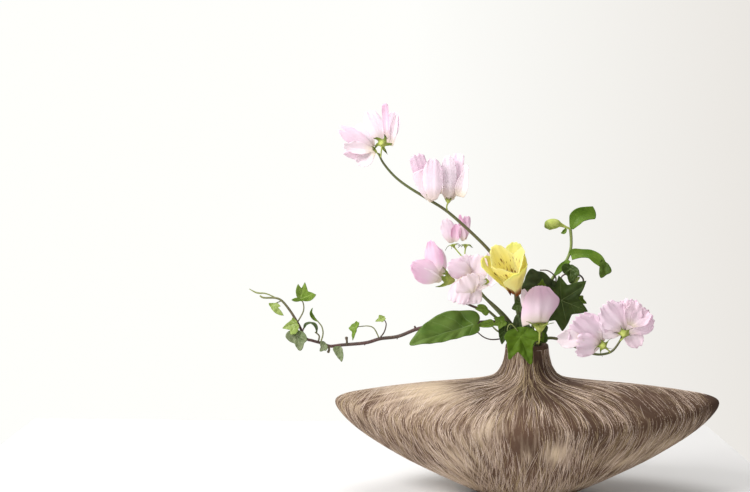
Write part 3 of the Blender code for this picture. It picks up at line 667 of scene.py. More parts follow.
def petal(body, blade, shape, seed, blush, ruffle, thick=0.32):
    """A petal with a ruffled margin, soft lengthwise folds and a crease down its middle."""
    widths, drop, notch, foot, crease = shape
    columns, rows = 37, 25
    u, v = np.meshgrid(np.linspace(-1, 1, columns), np.linspace(0, 1, rows))
    phase = np.random.default_rng(seed).uniform(0, math.tau, 6)
    left = u < 0
    half = blade.half_width * np.where(left, *np.moveaxis(along(widths, v), -1, 0))
    waves, rim_waves = blade.half_width / FRILL, blade.length / FRILL
    margin = FRILL * 0.11 * ruffle * np.sin(2 * math.pi * waves * u + phase[3]) / blade.length
    top = 1 - (np.where(left, *drop) * np.abs(u) ** 2.5 + notch * np.exp(-((u / 0.22) ** 2)) + margin) * v
    frill = np.sin(math.pi * waves * u + phase[0]) + 0.5 * np.sin(2.3 * math.pi * waves * u + phase[1])
    side_frill = np.sin(math.pi * rim_waves * v + 2 * np.sign(u) + phase[2]) * np.abs(u) ** 4
    swell = np.sin(1.7 * u + 2.4 * v + phase[4]) * v * 1.2
    arch = np.sin(math.pi * v)
    folds = FOLD * min(ruffle, 1) * np.sin(blade.half_width * 0.55 * u + 1.5 * v + phase[5]) * arch
    lift = ruffle * (0.8 * v**4 * frill + 0.7 * v * side_frill) + swell + folds
    lift -= crease * np.exp(-((u / 0.16) ** 2)) * arch**0.7
    y = blade.length * (v * top - np.where(left, *foot) * np.abs(u) ** 1.5 * (1 - v) ** 2)
    marks = np.stack([u, v, np.full_like(u, blush)], -1)
    body.add_grid(blade.point(u * half, y, lift), thick, petal=marks, seed=float(seed % 97))


def petal_shape(widths, drop, notch=0.02, foot=0.0, crease=0.25):
    """Widths from base to tip, and how far the tip's and the base's corners fall back or down.

    Each may be one number, or a pair for the left and right halves.
    """
    def paired(value):
        return value if isinstance(value, tuple) else (value, value)

    return [paired(width) for width in widths], paired(drop), notch, paired(foot), crease


FAN = petal_shape((0.2, 0.5, 0.8, 0.96, 1, 0.98, 0.84), 0.22)
FAT = petal_shape((0.42, 0.72, 0.92, 1, 1, 0.96, 0.8), 0.2, foot=-0.04)
FLAT = petal_shape((0.3, 0.62, 0.86, 0.97, 1, 0.99, 0.9), 0.08, 0.03)
BLUNT = petal_shape((0.5, 0.7, 0.8, 0.85, 0.95, 1, 0.9), 0.06, 0)
SPLIT = petal_shape((0.25, 0.55, 0.82, 0.96, 1, 0.9, 0.62), 0.1, 0.2)
WING = petal_shape((0.3, 0.6, 0.86, 1, 0.98, 0.88, 0.66), 0.25, 0)
ROUND = petal_shape((0.5, 0.8, 0.96, 1, 0.98, 0.88, 0.62), 0.2, 0, -0.08)
SHIELD = petal_shape(((0.9, 0.42), (0.98, 0.6), (0.96, 0.86), (0.9, 1.12), (0.82, 1.16), (0.72, 0.84),
      (0.52, 0.56)), (0.12, 0.06), 0, (0.12, 0), -1.2)
CURL = petal_shape((0.6, 0.95, 1, 0.9, 0.65, 0.5, 0.55), 0.1, 0)

# for each set: outline, base, tip, the way the upper side looks, width, roll, curl, blush, ruffle
PETALS = {
    "long_1_banner": (
        (SPLIT, (-159.5, -24, 359.5), (-194.5, -27, 381), (0.2, -0.9, 0.3), 17, -15, 15, 0.35, 0.5),
        (FAN, (-159.5, -17, 361.5), (-177, -14, 384), (0.2, -1, 0.2), 21, 20, 10, 0, 0.8),
    ),
    "long_1_wings": (
        (WING, (-159.5, -28, 358.5), (-189.5, -37, 363), (0, -0.8, 0.6), 15, 15, -10, 0.1, 0.8),
        (WING, (-159.5, -26, 356.5), (-189.5, -33, 355), (0, -0.9, 0.2), 14, 15, -10, 0.45, 0.7),
        (FAN, (-157.5, -30, 356.5), (-175.5, -34, 345.5), (0.1, -0.9, 0.2), 17, 15, -10, 0.2, 0.8),
    ),
    "long_2_banner": (
        (FAN, (-151.5, -19, 366.5), (-164, -12, 399), (0.3, -0.9, 0), 20.5, -25, 10, 0, 0.8),
        (BLUNT, (-146, -22, 369.5), (-147.5, -19, 405.5), (0, -1, 0), 7.5, 40, 10, 0.75, 0.3),
        (FAN, (-143.5, -18, 364.5), (-137.5, -13, 398), (-0.3, -0.9, 0), 18.5, 30, 10, 0.1, 0.6),
    ),
    "long_2_wings": ((WING, (-140.5, -21, 362.5), (-136, -18, 395), (-0.3, -0.9, 0), 8, 30, 10, 0.3, 0.4),),
    "long_3_banner": (
        (FLAT, (-103, -18, 308), (-115.5, -15, 354.5), (0.4, -0.9, 0.1), 18, -20, 6, 0.4, 0.5),
        (FAT, (-98.5, -23, 307), (-99, -25, 350.5), (-0.1, -1, 0), 21, -20, 4, 0.25, 0.6),
    ),
    "long_3_wings": (
        (FLAT, (-99.5, -21, 306), (-114, -20, 338), (0.2, -0.95, 0.1), 16, -20, 4, 0.3, 0.3),
        (CURL, (-92.5, -21, 314), (-90, -20, 337), (-0.2, -1, 0), 9, 60, 5, 0, 0.3),
    ),
    "long_4_banner": (
        (FAT, (-82, -19, 309.5), (-83, -17, 353.5), (0.1, -0.95, 0), 17, -20, 5, 0.05, 0.6),
        (FLAT, (-79, -14, 310.5), (-72, -9, 355.5), (-0.2, -1, 0), 14, -25, 6, 0.3, 0.6),
    ),
    "long_4_wings": (
        (FAT, (-81, -16.5, 306.5), (-83.5, -14, 340), (0.1, -1, 0), 20, -20, 4, 0, 0.3),
        (CURL, (-71, -22, 311), (-65, -24, 344), (-0.3, -0.9, 0.1), 14, 40, -20, 0.15, 0.5),
    ),
    "back_1_banner": (
        (FAT, (-77.5, 31, 259.5), (-85, 34, 285), (0.2, -1, 0), 16, -25, 15, 0.2, 0.8),
        (FAT, (-74.5, 28, 261), (-72.5, 27, 280), (-0.2, -1, 0), 11.5, 40, 0, 0.9, 0.5),
    ),
    "back_2_banner": (
        (FLAT, (-64, 31, 263), (-62, 35, 288), (-0.2, -1, 0), 9.5, -30, 10, 0.5, 0.5),
        (WING, (-66, 30, 263), (-69.5, 33, 289.5), (0.2, -1, 0), 6.5, 40, 10, 0.8, 0.3),
    ),
    "back_2_wings": ((WING, (-66, 27, 262), (-68.5, 23, 278), (0, -1, 0), 8.5, 40, -10, 0.5, 0.4),),
    "back_3_banner": (
        (FAN, (-27.5, 20, 227), (-29, 22, 257), (0, -1, 0.1), 28.5, 20, 10, 0, 0.8),
        (WING, (-31.5, 18, 232.5), (-39, 14, 215.5), (0, -1, 0), 13, 30, 10, 0.05, 0.8),
    ),
    "left_1_banner": (
        (ROUND, (-95.5, -40, 234), (-101, -43, 268), (-0.3, -0.9, -0.1), 21, -35, 8, 1, 0.8),
        (ROUND, (-92.5, -42, 229), (-120.5, -48, 245), (-0.3, -0.8, 0.3), 25, -25, 10, 0.65, 0.8),
    ),
    "left_1_wings": (
        (FAT, (-90, -40, 227), (-116, -46, 239), (-0.2, -0.9, -0.3), 14, 30, -8, 0.25, 0.5),
        (FAT, (-90.5, -37, 231), (-93.5, -38, 260), (0.1, -1, 0), 15, -20, 10, 0.2, 0.4),
    ),
    "left_2_banner": (
        (FAT, (-60, -38, 234), (-84, -44, 244), (0.2, -0.9, 0.2), 21, -25, 15, 0.3, 1.2),
        (FAN, (-61, -34, 231.5), (-70, -36, 252), (0, -0.9, 0.4), 24, -25, 15, 0.25, 1.2),
        (FAT, (-60, -33, 224), (-50, -36, 253), (0, -1, 0.1), 24, 15, 8, 0.25, 0.6),
    ),
    "left_2_wings": (
        (FLAT, (-67, -44, 230.5), (-75, -50, 205.5), (0, -0.9, 0.3), 22, -15, 12, 0.35, 0.9),
        (FLAT, (-60, -42, 229.5), (-59, -46, 204), (0, -0.9, 0.3), 21, -25, 15, 0.2, 0.8),
        (ROUND, (-62, -40, 229), (-43, -41, 223), (0, -1, 0.2), 17, 30, 10, 0, 0.5),
        (FAN, (-59, -47, 215.5), (-68, -51, 232.5), (0.1, -1, 0.1), 29, -15, 4, 0.1, 1.2),
    ),
    "front_banner": ((SHIELD, (9, -40, 185), (9, -37.5, 222), (0, -1, 0.1), 39, -35, -6, 0.5, 0.3),),
    "front_wings": (
        (WING, (1, -30, 190), (-7, -30, 218), (0.1, -1, 0), 12, -20, 8, 0.1, 0.4),
        (FAT, (12, -31, 188), (18, -30, 214), (0, -1, 0), 16, -20, 8, 0.4, 0.4),
    ),
    "right_1_banner": (
        (FAN, (70.5, -40, 163.5), (42.5, -43, 188), (-0.1, -0.9, 0.3), 39, -10, 10, 0.3, 2),
        (FLAT, (69, -42, 162), (45.5, -47, 163.5), (0, -0.95, -0.1), 25, -8, 5, 0.3, 1.4),
        (FAN, (72.5, -38, 165), (62, -40, 192), (-0.1, -0.9, 0.3), 27, -10, 10, 0.25, 1.8),
    ),
    "right_1_wings": ((FAN, (53.5, -46, 169.5), (26.5, -46, 169), (0, -1, 0.2), 19, 25, -10, 0.05, 1.2),),
    "right_2_banner": (
        (FAN, (94.5, -38, 176.5), (73.5, -42, 204.5), (0.1, -0.9, 0.3), 31, -12, 12, 0.2, 1.8),
        (FAN, (97.5, -37, 176.5), (101, -38, 209), (0, -0.9, 0.2), 30, -30, 15, 0.35, 1.6),
        (FAN, (98.5, -38, 175.5), (120.5, -40, 195), (-0.1, -0.9, 0.2), 30, -30, 15, 0.4, 1.5),
    ),
    "right_2_wings": (
        (FAN, (95, -36, 175), (65.5, -38, 181), (0, -1, 0), 21, 15, 10, 0.1, 1.2),
        (FAT, (98, -36, 181), (110, -37, 160), (0, -1, 0), 19, 20, 10, 0.4, 0.9),
        (FAN, (99, -43, 183), (105, -47, 207.5), (0.2, -0.9, 0.2), 19, 20, 10, 0.5, 1.6),
        (FAN, (101.5, -43, 182), (117, -47, 199), (0.1, -0.9, 0.3), 19, 20, 10, 0.45, 1.6),
        (ROUND, (101, -41, 186), (96, -44, 208), (0.3, -0.9, 0.1), 13, 30, 15, 0.4, 1.2),
    ),
}


def build_blossoms():
    seed = 100
    for name, petals in PETALS.items():
        body = Body()
        for outline, *shape, blush, ruffle in petals:
            petal(body, Blade(*shape), outline, seed, blush, ruffle)
            seed += 1
        body.make(f"{name}_petals", PETAL_PINK if "banner" in name else PETAL_CREAM, [f"sweet_pea_{name}"])


build_blossoms()

# ---- sweet pea stems ----
BASE_Z = 7.4
# each stem is its route, its radii and its branches; each branch is its route, the way its calyx
# points, how widely the calyx opens, and its size
SWEET_PEA_STEMS = {
    "long": (
        ((0.5, -6, BASE_Z), (0.5, -6, 80), (0, -5.5, 150), (-5, -5, 177), (-9, -6, 202), (-20, -8, 226),
         (-37, -10, 251), (-56, -11, 271), (-83, -14, 295), (-103, -16, 308), (-124, -18, 321),
         (-138, -19, 332), (-149, -20, 345), (-154, -21, 355)),
        (2, 2, 1.9, 1.7, 1.5, 1.3, 1),
        (
         (((-152, -20.5, 351), (-155, -21, 355), (-157, -21, 357)), (-0.8, -0.1, 0.35), 0.2, 0.8),
         (((-152, -20.5, 351), (-151, -27, 358), (-150, -31, 364)), (0.05, 0.85, 0.5), 0.8, 1),
         (((-99, -15.5, 305.5), (-101, -17, 306), (-102, -18, 308)), (-0.1, -0.1, 1), 0.1, 0.7),
         (((-83, -14, 295), (-84.5, -15, 300), (-83, -15, 305)), (0.05, 0.1, 1), 0.2, 0.8),
         (((-20, -8, 226), (-24, 2, 225), (-27, 12, 226)), (-0.1, 0.9, 0.4), 0.2, 0.7),
        ),
    ),
    "back": (
        ((-4, -0.5, BASE_Z), (-4, -0.5, 80), (-4, 0, 150), (-9, 1, 165), (-19, 3, 178), (-30, 8, 190),
         (-41, 14, 201), (-52, 19, 212), (-61, 24, 229), (-65, 28, 246)),
        (1.9, 1.8, 1.4, 0.9),
        (
         (((-64, 27, 242), (-71, 29, 250), (-76, 30, 256)), (-0.25, -0.1, 1), 0.9, 0.7),
         (((-64, 27, 242), (-64, 29, 250), (-63, 30, 256)), (0, -0.1, 1), 1, 0.7),
        ),
    ),
    "left": (
        ((-5.5, -6, BASE_Z), (-5.5, -6, 80), (-6, -6.5, 150), (-12, -11, 172), (-15.5, -13, 177),
         (-24, -15.5, 188), (-34, -19, 198), (-44, -23, 207), (-53, -27, 217), (-61, -30, 223),
         (-70, -33, 222)),
        (1.9, 1.9, 1.8, 1.6, 1.2),
        (
         (((-68, -32, 222.5), (-73, -35, 224), (-78, -38, 227)), (-0.95, -0.2, 0.25), 0.25, 1.8),
         (((-52, -26.5, 216), (-45, -30, 220), (-43, -37, 226)), (-0.9, -0.45, 0.1), 0.1, 0.9),
        ),
    ),
    "front": (
        ((5, -11.5, BASE_Z), (5, -11.5, 80), (5.5, -11.5, 145), (8, -13, 158), (12, -18.5, 165),
         (12, -24, 172), (11, -26, 178)),
        (1.7, 1.7, 1.5, 1.4),
        (
         (((9, -13.5, 160), (9.5, -24, 161), (9.3, -36, 164.5), (9.3, -40, 169), (9.3, -41, 176.5)),
          (0, -0.1, 1), 0.5, 1.7),
        ),
    ),
    "right": (
        ((11.5, -6, BASE_Z), (11.5, -6, 80), (12, -6, 148), (17, -10, 163), (30, -18, 165), (47, -24, 158),
         (64, -30, 152), (75, -33.5, 152), (84, -35, 156), (91, -35.5, 166), (93, -36, 172)),
        (1.7, 1.6, 1.3, 1),
        (
         (((81, -34.5, 154), (79, -42, 157), (74, -45, 161)), (-0.35, 0.8, 0.3), 0.8, 0.95),
         (((91, -35.5, 166), (93, -40, 169), (94, -43, 172)), (0.1, 0.75, 0.6), 0.6, 1.1),
        ),
    ),
}
CALYX_CUP, CALYX_TEETH, CALYX_THICK = 5.0, 6.5, 0.44


def calyx(body, base, ahead, opened, size, seed):
    """A green cup with five narrow teeth, which open out from 0, shut, to 1, a flat star."""
    ahead = unit(ahead)
    side = unit(np.cross(ahead, (0.2, 1.0, 0.1)))
    columns, rows = 60, 17
    turn, v = np.meshgrid(np.linspace(0, math.tau, columns, endpoint=False), np.linspace(0, 1, rows))
    sector = turn * 5 / math.tau
    tooth = np.abs((sector % 1) - 0.5) * 2
    longest = CALYX_TEETH / CALYX_CUP * (1 + 0.6 * opened)
    uneven = np.random.default_rng(seed).uniform(0.75, 1.15, 5)[sector.astype(int)]
    height = v * (1 + longest * uneven * tooth**3.5)
    flare = np.maximum(height - 0.75, 0)
    radius = 0.9 + 2.7 * np.sin(np.minimum(height, 1.0) * math.pi / 2) + flare * (1.2 + 3.2 * opened)
    lift = CALYX_CUP * (np.minimum(height, 0.75) + flare * (1 - 0.8 * opened)) - 1.6 * opened * flare**2
    turn = turn + 0.2 * flare * np.sin(turn * 5 + seed)
    outward = radius[..., None] * swung(turn, side, np.cross(side, ahead))
    points = base - ahead + size * (ahead * lift[..., None] + outward)
    foot = np.arange(columns)
    rims = [foot + (rows - 1) * columns, foot[::-1]]
    body.add_sheet(points.reshape(-1, 3), grid_faces(rows, columns, closed=True), rims, CALYX_THICK,
                   height=height.ravel())


def build_sweet_pea_stems():
    for index, (which, (route, radii, branches)) in enumerate(SWEET_PEA_STEMS.items()):
        body, cups, name = Body(), Body(), f"sweet_pea_{which}_stem"
        tube(body, route, radii, per_span=8)
        for branch, (path, ahead, opened, size) in enumerate(branches):
            tube(cups, path, (1.0, 0.75, 0.95), sides=10, height=0.6)
            calyx(cups, path[-1], ahead, opened, size, 10 * index + branch)
        body.make(f"{name}_stalk", STEM_GREEN, [name])
        cups.make(f"{name}_calyces", CALYX_GREEN)


build_sweet_pea_stems()

# ---- alstroemeria ----
BLOOM_BASE = np.array((-13, -23, 210.0))
BLOOM_AHEAD = unit((-0.25, -0.53, 0.8))
BLOOM_STEM = (
    (-5.5, -11.5, BASE_Z), (-5.5, -11.5, 80), (-6, -11.5, 150), (-8, -14.5, 176), (-11, -16, 192),
    (-13, -20.5, 204),
)
TEPAL_START = 3.8
# each ring's name, turns round the bloom in degrees, how far out a tepal's foot and tip are, how far
# ahead its tip is, and its width, roll and curl
TEPAL_RINGS = (
    ("outer", (24, 125, 245), 5.0, 26, 50, 34, 40, 22),
    ("inner", (67, 185, 312), 2.4, 20, 56, 30, 36, 18),
)
TEPAL = petal_shape((0.2, 0.27, 0.46, 0.78, 1.0, 1.0, 0.8), 0.24, 0.0)


def build_alstroemeria():
    side = unit(np.cross(BLOOM_AHEAD, (0, 1, 0)))
    other = np.cross(side, BLOOM_AHEAD)

    def place(ahead, outward, out):
        return BLOOM_BASE + BLOOM_AHEAD * ahead + outward * out

    stem, stamens = Body(), Body()
    route = (*BLOOM_STEM, place(2, side, 0), place(5, side, 0))
    tube(stem, route, (1.9, 1.9, 1.9, 1.9, 1.9, 2.2, 3.4), per_span=8)
    stem.make("alstroemeria_stalk", STEM_GREEN, ["alstroemeria_stem"])
    for ring, (kind, turns, foot, out, reach, *bend) in enumerate(TEPAL_RINGS):
        for index, turn in enumerate(turns):
            outward = swung(math.radians(turn), side, other)
            blade = Blade(place(TEPAL_START, outward, foot), place(reach, outward, out), -outward, *bend)
            body = Body()
            petal(body, blade, TEPAL, 200 + 3 * ring + index, ring, 0.6, thick=0.5)
            name = f"{kind}_tepal_{index + 1}"
            body.make(f"yellow_{name}", TEPAL_YELLOW, [f"alstroemeria_{name}"])
    for k in range(6):
        outward = swung(math.tau * k / 6, side, other)
        start, middle, end = place(4, outward, 1.0), place(18, outward, 2.4), place(28, outward, 5.0)
        tube(stamens, (start, middle, end), (0.4, 0.4, 0.35), sides=8)
        tube(stamens, [end + BLOOM_AHEAD * ahead for ahead in (-1, 1.8, 4.4)], (0.7, 1.1, 0.6), sides=8)
    stamens.make("bloom_stamens", ANTHER, ["alstroemeria_stamens"])


build_alstroemeria()

# ---- ivy outlines and leaves ----
# outlines about the point where the petiole joins: angle from the tip and reach, from the lower edge
# round to the upper one; those that start at 0 are the same on both sides
# tips and notches in turn
LOBED = {
    "star": ((-180, 0.4), (-152, 0.65), (-136, 0.5), (-118, 0.87), (-90, 0.58), (-61, 1.1), (-30, 0.6),
        (0, 1), (31, 0.62), (66, 1.1), (84, 0.74), (97, 0.85), (130, 0.34)),
    "split": ((-180, 0.14), (-108, 0.5), (-75, 0.2), (-22, 0.9), (-8, 0.64), (0, 1), (28, 0.64), (56, 0.98),
        (120, 0.16)),
    "slim": ((-180, 0.2), (-120, 0.14), (-34, 0.5), (-18, 0.36), (0, 1), (60, 0.34), (100, 0.24),
        (157, 0.36)),
    "side": ((-180, 0.2), (-81, 0.72), (-40, 0.55), (0, 1), (11, 0.78), (22, 0.85), (100, 0.25)),
    "mitten": ((0, 1), (30, 0.55), (58, 0.62), (110, 0.3), (150, 0.3), (180, 0.2)),
    "wide": ((0, 1), (24, 0.62), (44, 0.85), (80, 0.5), (130, 0.5), (180, 0.2)),
    "light": ((-180, 0.1), (-110, 0.35), (-75, 0.75), (-50, 0.85), (-30, 0.6), (-12, 0.75), (0, 1),
        (15, 0.7), (35, 0.5), (60, 0.42), (78, 0.5), (110, 0.25)),
    "neck": ((-180, 0.3), (-90, 1.2), (-45, 0.75), (0, 1), (40, 0.6), (70, 0.7), (120, 0.3)),
}
# soft curves
SMOOTH = {
    "front": ((-180, 0.33), (-138, 0.36), (-100, 0.5), (-74, 0.66), (-60, 0.62), (-48, 0.5), (-26, 0.56),
        (-10, 0.8), (0, 1), (12, 0.72), (29, 0.53), (40, 0.66), (48, 0.86), (62, 0.66), (85, 0.52),
        (109, 0.55), (134, 0.46), (162, 0.35)),
    "back": ((-180, 0.12), (-110, 0.2), (-62, 0.36), (-26, 0.68), (-12, 0.9), (-2, 1.04), (8, 1.06), (19, 1),
        (32, 1.02), (47, 1.02), (53, 0.79), (64, 0.63), (90, 0.29), (145, 0.24)),
    "rounded": ((-180, 0.3), (-120, 0.35), (-75, 0.6), (-50, 0.75), (-28, 0.72), (0, 1), (16, 0.75),
        (30, 0.55), (70, 0.62), (99, 0.68), (135, 0.5)),
    "wedge": ((-180, 0.08), (-90, 0.12), (-50, 0.25), (-28, 0.42), (-10, 0.8), (0, 1), (8, 0.85), (30, 0.62),
        (60, 0.5), (90, 0.48), (130, 0.15)),
    "folded": ((-180, 0.05), (-90, 0.12), (-60, 0.45), (-44, 0.8), (-20, 0.85), (0, 1), (10, 0.8), (40, 0.2)),
    "heart": ((-180, 0.06), (-130, 0.12), (-80, 0.15), (-40, 0.22), (-22, 0.36), (-11, 0.6), (-4, 0.85),
        (0, 1), (7, 0.88), (14, 0.77), (24, 0.62), (36, 0.49), (52, 0.33), (80, 0.22), (120, 0.17),
        (160, 0.12)),
    "pointed": ((0, 1), (5, 0.9), (16, 0.68), (36, 0.45), (70, 0.3), (120, 0.2), (180, 0.1)),
}
# points round a smooth outline, points between a lobed one's tips and notches, and rings of a leaf
SMOOTH_POINTS, LOBE_POINTS, LEAF_RINGS, LEAF_THICK = 96, 8, 14, 0.5


def outline_points(name):
    """Angles and reaches all the way round; lobed outlines rise to sharp tips."""
    outline = (SMOOTH if name in SMOOTH else LOBED)[name]
    if outline[0][0] == 0:
        outline = [(-a, r) for a, r in outline[:0:-1]] + list(outline)
    else:
        outline = [*outline, (180, outline[0][1])]
    if name in SMOOTH:
        return np.moveaxis(along(outline, np.linspace(0, 1, SMOOTH_POINTS + 1)[:-1]), -1, 0)
    angles, reaches = [], []
    t = np.linspace(0, 1, LOBE_POINTS + 1)[:-1]
    for (a0, r0), (a1, r1) in zip(outline, outline[1:]):
        angles.append(a0 + (a1 - a0) * t)
        reaches.append(r0 + (r1 - r0) * (t**1.5 if r1 > r0 else 1 - (1 - t) ** 1.5))
    return np.concatenate(angles), np.concatenate(reaches)


def leaf(body, blade, outline, seed, veins, fold):
    """A leaf about the point where its petiole joins; fold lifts both halves."""
    angles, reaches = outline_points(outline)
    turn = np.radians(angles)
    rings = np.linspace(0, 1, LEAF_RINGS + 1)[1:] ** 0.9
    count = len(turn)
    reach = np.multiply.outer(rings, reaches)
    x, y = (np.concatenate([[0], (reach * wave(turn)).ravel()]) for wave in (np.sin, np.cos))
    gap = np.full_like(x, 9.0)
    for start, angle, _ in veins:
        c, s = math.cos(math.radians(angle)), math.sin(math.radians(angle))
        ahead, aside = x * s + (y - start) * c, np.abs(x * c - (y - start) * s)
        gap = np.minimum(gap, np.where(ahead > 0, aside, np.hypot(x, y - start)))
    shift = np.random.default_rng(seed).uniform(0, 50, 3)
    ripple = soft_noise(np.stack([x * 5, y * 5, 0 * x], 1), 1, shift)
    size = blade.length
    lift = size * (fold * np.abs(x) + 0.35 * np.minimum(gap, 0.12) + 0.06 * ripple)
    k = np.arange(count)
    centre = np.stack([0 * k, 1 + np.roll(k, -1), 1 + k, 1 + k], 1)
    faces = np.concatenate([centre, grid_faces(len(rings), count, closed=True) + 1])
    rim = (1 + (len(rings) - 1) * count + k)[::-1]
    spots = np.stack([x, y, 0 * x], -1)
    body.add_sheet(blade.point(x * size, y * size, lift), faces, [rim], LEAF_THICK, spot=spots)


def ribbon_leaf(body, blade, widths, seed):
    """A long smooth leaf; its marks are set out as an ivy leaf's, for the veins."""
    columns, rows = 17, 41
    u, v = np.meshgrid(np.linspace(-1, 1, columns), np.linspace(0, 1, rows))
    half = blade.half_width * along(widths, v)
    phase = np.random.default_rng(seed).uniform(0, 6)
    lift = 0.4 * np.sin(7 * v + phase) * u**2 - 0.5 * np.exp(-((u / 0.12) ** 2)) * (1 - v)
    y = blade.length * v * (1 - 0.06 * np.abs(u) ** 2 * v)
    spots = np.stack([u * half / blade.length, v, np.zeros_like(u)], -1)
    body.add_grid(blade.point(u * half, y, lift), LEAF_THICK, spot=spots)


# ---- leafy shoot ----
SHOOT_STEM = (
    (6, -5.5, BASE_Z), (6, -5.5, 80), (6, -5, 150), (6, -1, 178), (13, 3, 203), (25, 5, 223), (34, 5, 236),
    (41, 5, 245), (44.7, 5, 256), (45, 5, 267), (44, 5, 277.5),
)
SHOOT_BUD = (
    (44, 4.5, 276.5), (38.3, 3.5, 279), (33.6, 3, 281), (29.5, 2, 282), (24.4, 1.5, 281.8), (20.2, 1, 280.2),
    (18, 0.5, 279),
)
# name, route, the ways the upper side looks, width, roll, and widths from base to tip
SHOOT_LEAVES = (
    ("shoot_top_leaf", ((45, 4.5, 277), (48.5, 3.5, 284), (53, 4, 289.5), (60.5, 6, 292), (70.5, 8, 293)),
     ((-0.6, -0.9, 0.2), (-0.4, -0.9, 0.3), (-0.1, -1, 0.4), (0, -1, 0.4)), 17.5, 40,
     (0.25, 0.62, 0.95, 1, 0.95, 0.88, 0.85)),
    ("shoot_curved_leaf", ((44.8, 3, 248.5), (48.5, 1.5, 250.5), (56.3, 1, 251.2), (64.5, 0, 250.2),
      (71.7, -1, 244.5), (77, -3, 239), (80, -5, 233)), ((-0.3, -0.9, 0.3), (0, -0.9, 0.5), (0.1, -0.9, 0.5),
      (0.4, -0.9, 0.3), (0.5, -0.9, 0.2)), 13.5, 40, (0.72, 0.92, 0.76, 0.8, 1, 0.75, 0.25)),
    ("shoot_sheath_leaf", ((43, 2, 244), (38, 1, 239), (32, 0.5, 233), (26.5, 0, 227.5)), ((-0.4, -0.6, 0.7),
      (-0.4, -0.8, 0.5), (-0.3, -0.8, 0.5)), 8.5, 40, (0.5, 0.85, 1, 1, 0.85, 0.55, 0.2)),
)
SHOOT_BRACT = ((39.5, 2.5, 277), (37, 1.5, 273.5), (34, 1, 272.5))


def build_shoot():
    stem, bud, bract, fold = Body(), Body(), Body(), Body()
    tube(stem, SHOOT_STEM, (1.8, 1.8, 1.7, 1.5, 1.6), per_span=8)
    stem.make("shoot_stalk", SHOOT_GREEN, ["shoot_stem"])
    yellowing = (0.4, 0.4, 0.4, 0.2, 0.4, 1.3, 2.2)
    tube(bud, SHOOT_BUD, (1.0, 1.4, 2.4, 4.8, 5.6, 5.0, 2.2), sides=20, height=yellowing)
    bud.make("shoot_flower_bud", CALYX_GREEN, ["shoot_bud"], slot="shoot_green")
    for seed, (name, *shape, widths) in enumerate(SHOOT_LEAVES):
        body = Body()
        ribbon_leaf(body, Ribbon(*shape), widths, 300 + seed)
        body.make(f"{name}_blade", LEAF_LOOKS["shoot"], [name])
    blade = Ribbon(SHOOT_BRACT, ((0, -1, 0.3), (0, -1, 0.2)), 4.5, 50)
    ribbon_leaf(bract, blade, (0.5, 0.9, 1.0, 0.7, 0.2), 310)
    bract.make("shoot_bract_blade", LEAF_LOOKS["lime"], slot="leaf_green")
    # the folded tip has darker greens than the shoot's leaves, painted shade for its underside, which is in
    # shade
    leaf(fold, Blade((76, -4, 244.5), (74.5, -8, 227), (0.2, -1, 0.1), 20, 30, 10), "folded", 311, (), 0.05)
    fold.make("shoot_folded_tip", LEAF_LOOKS["folded"])


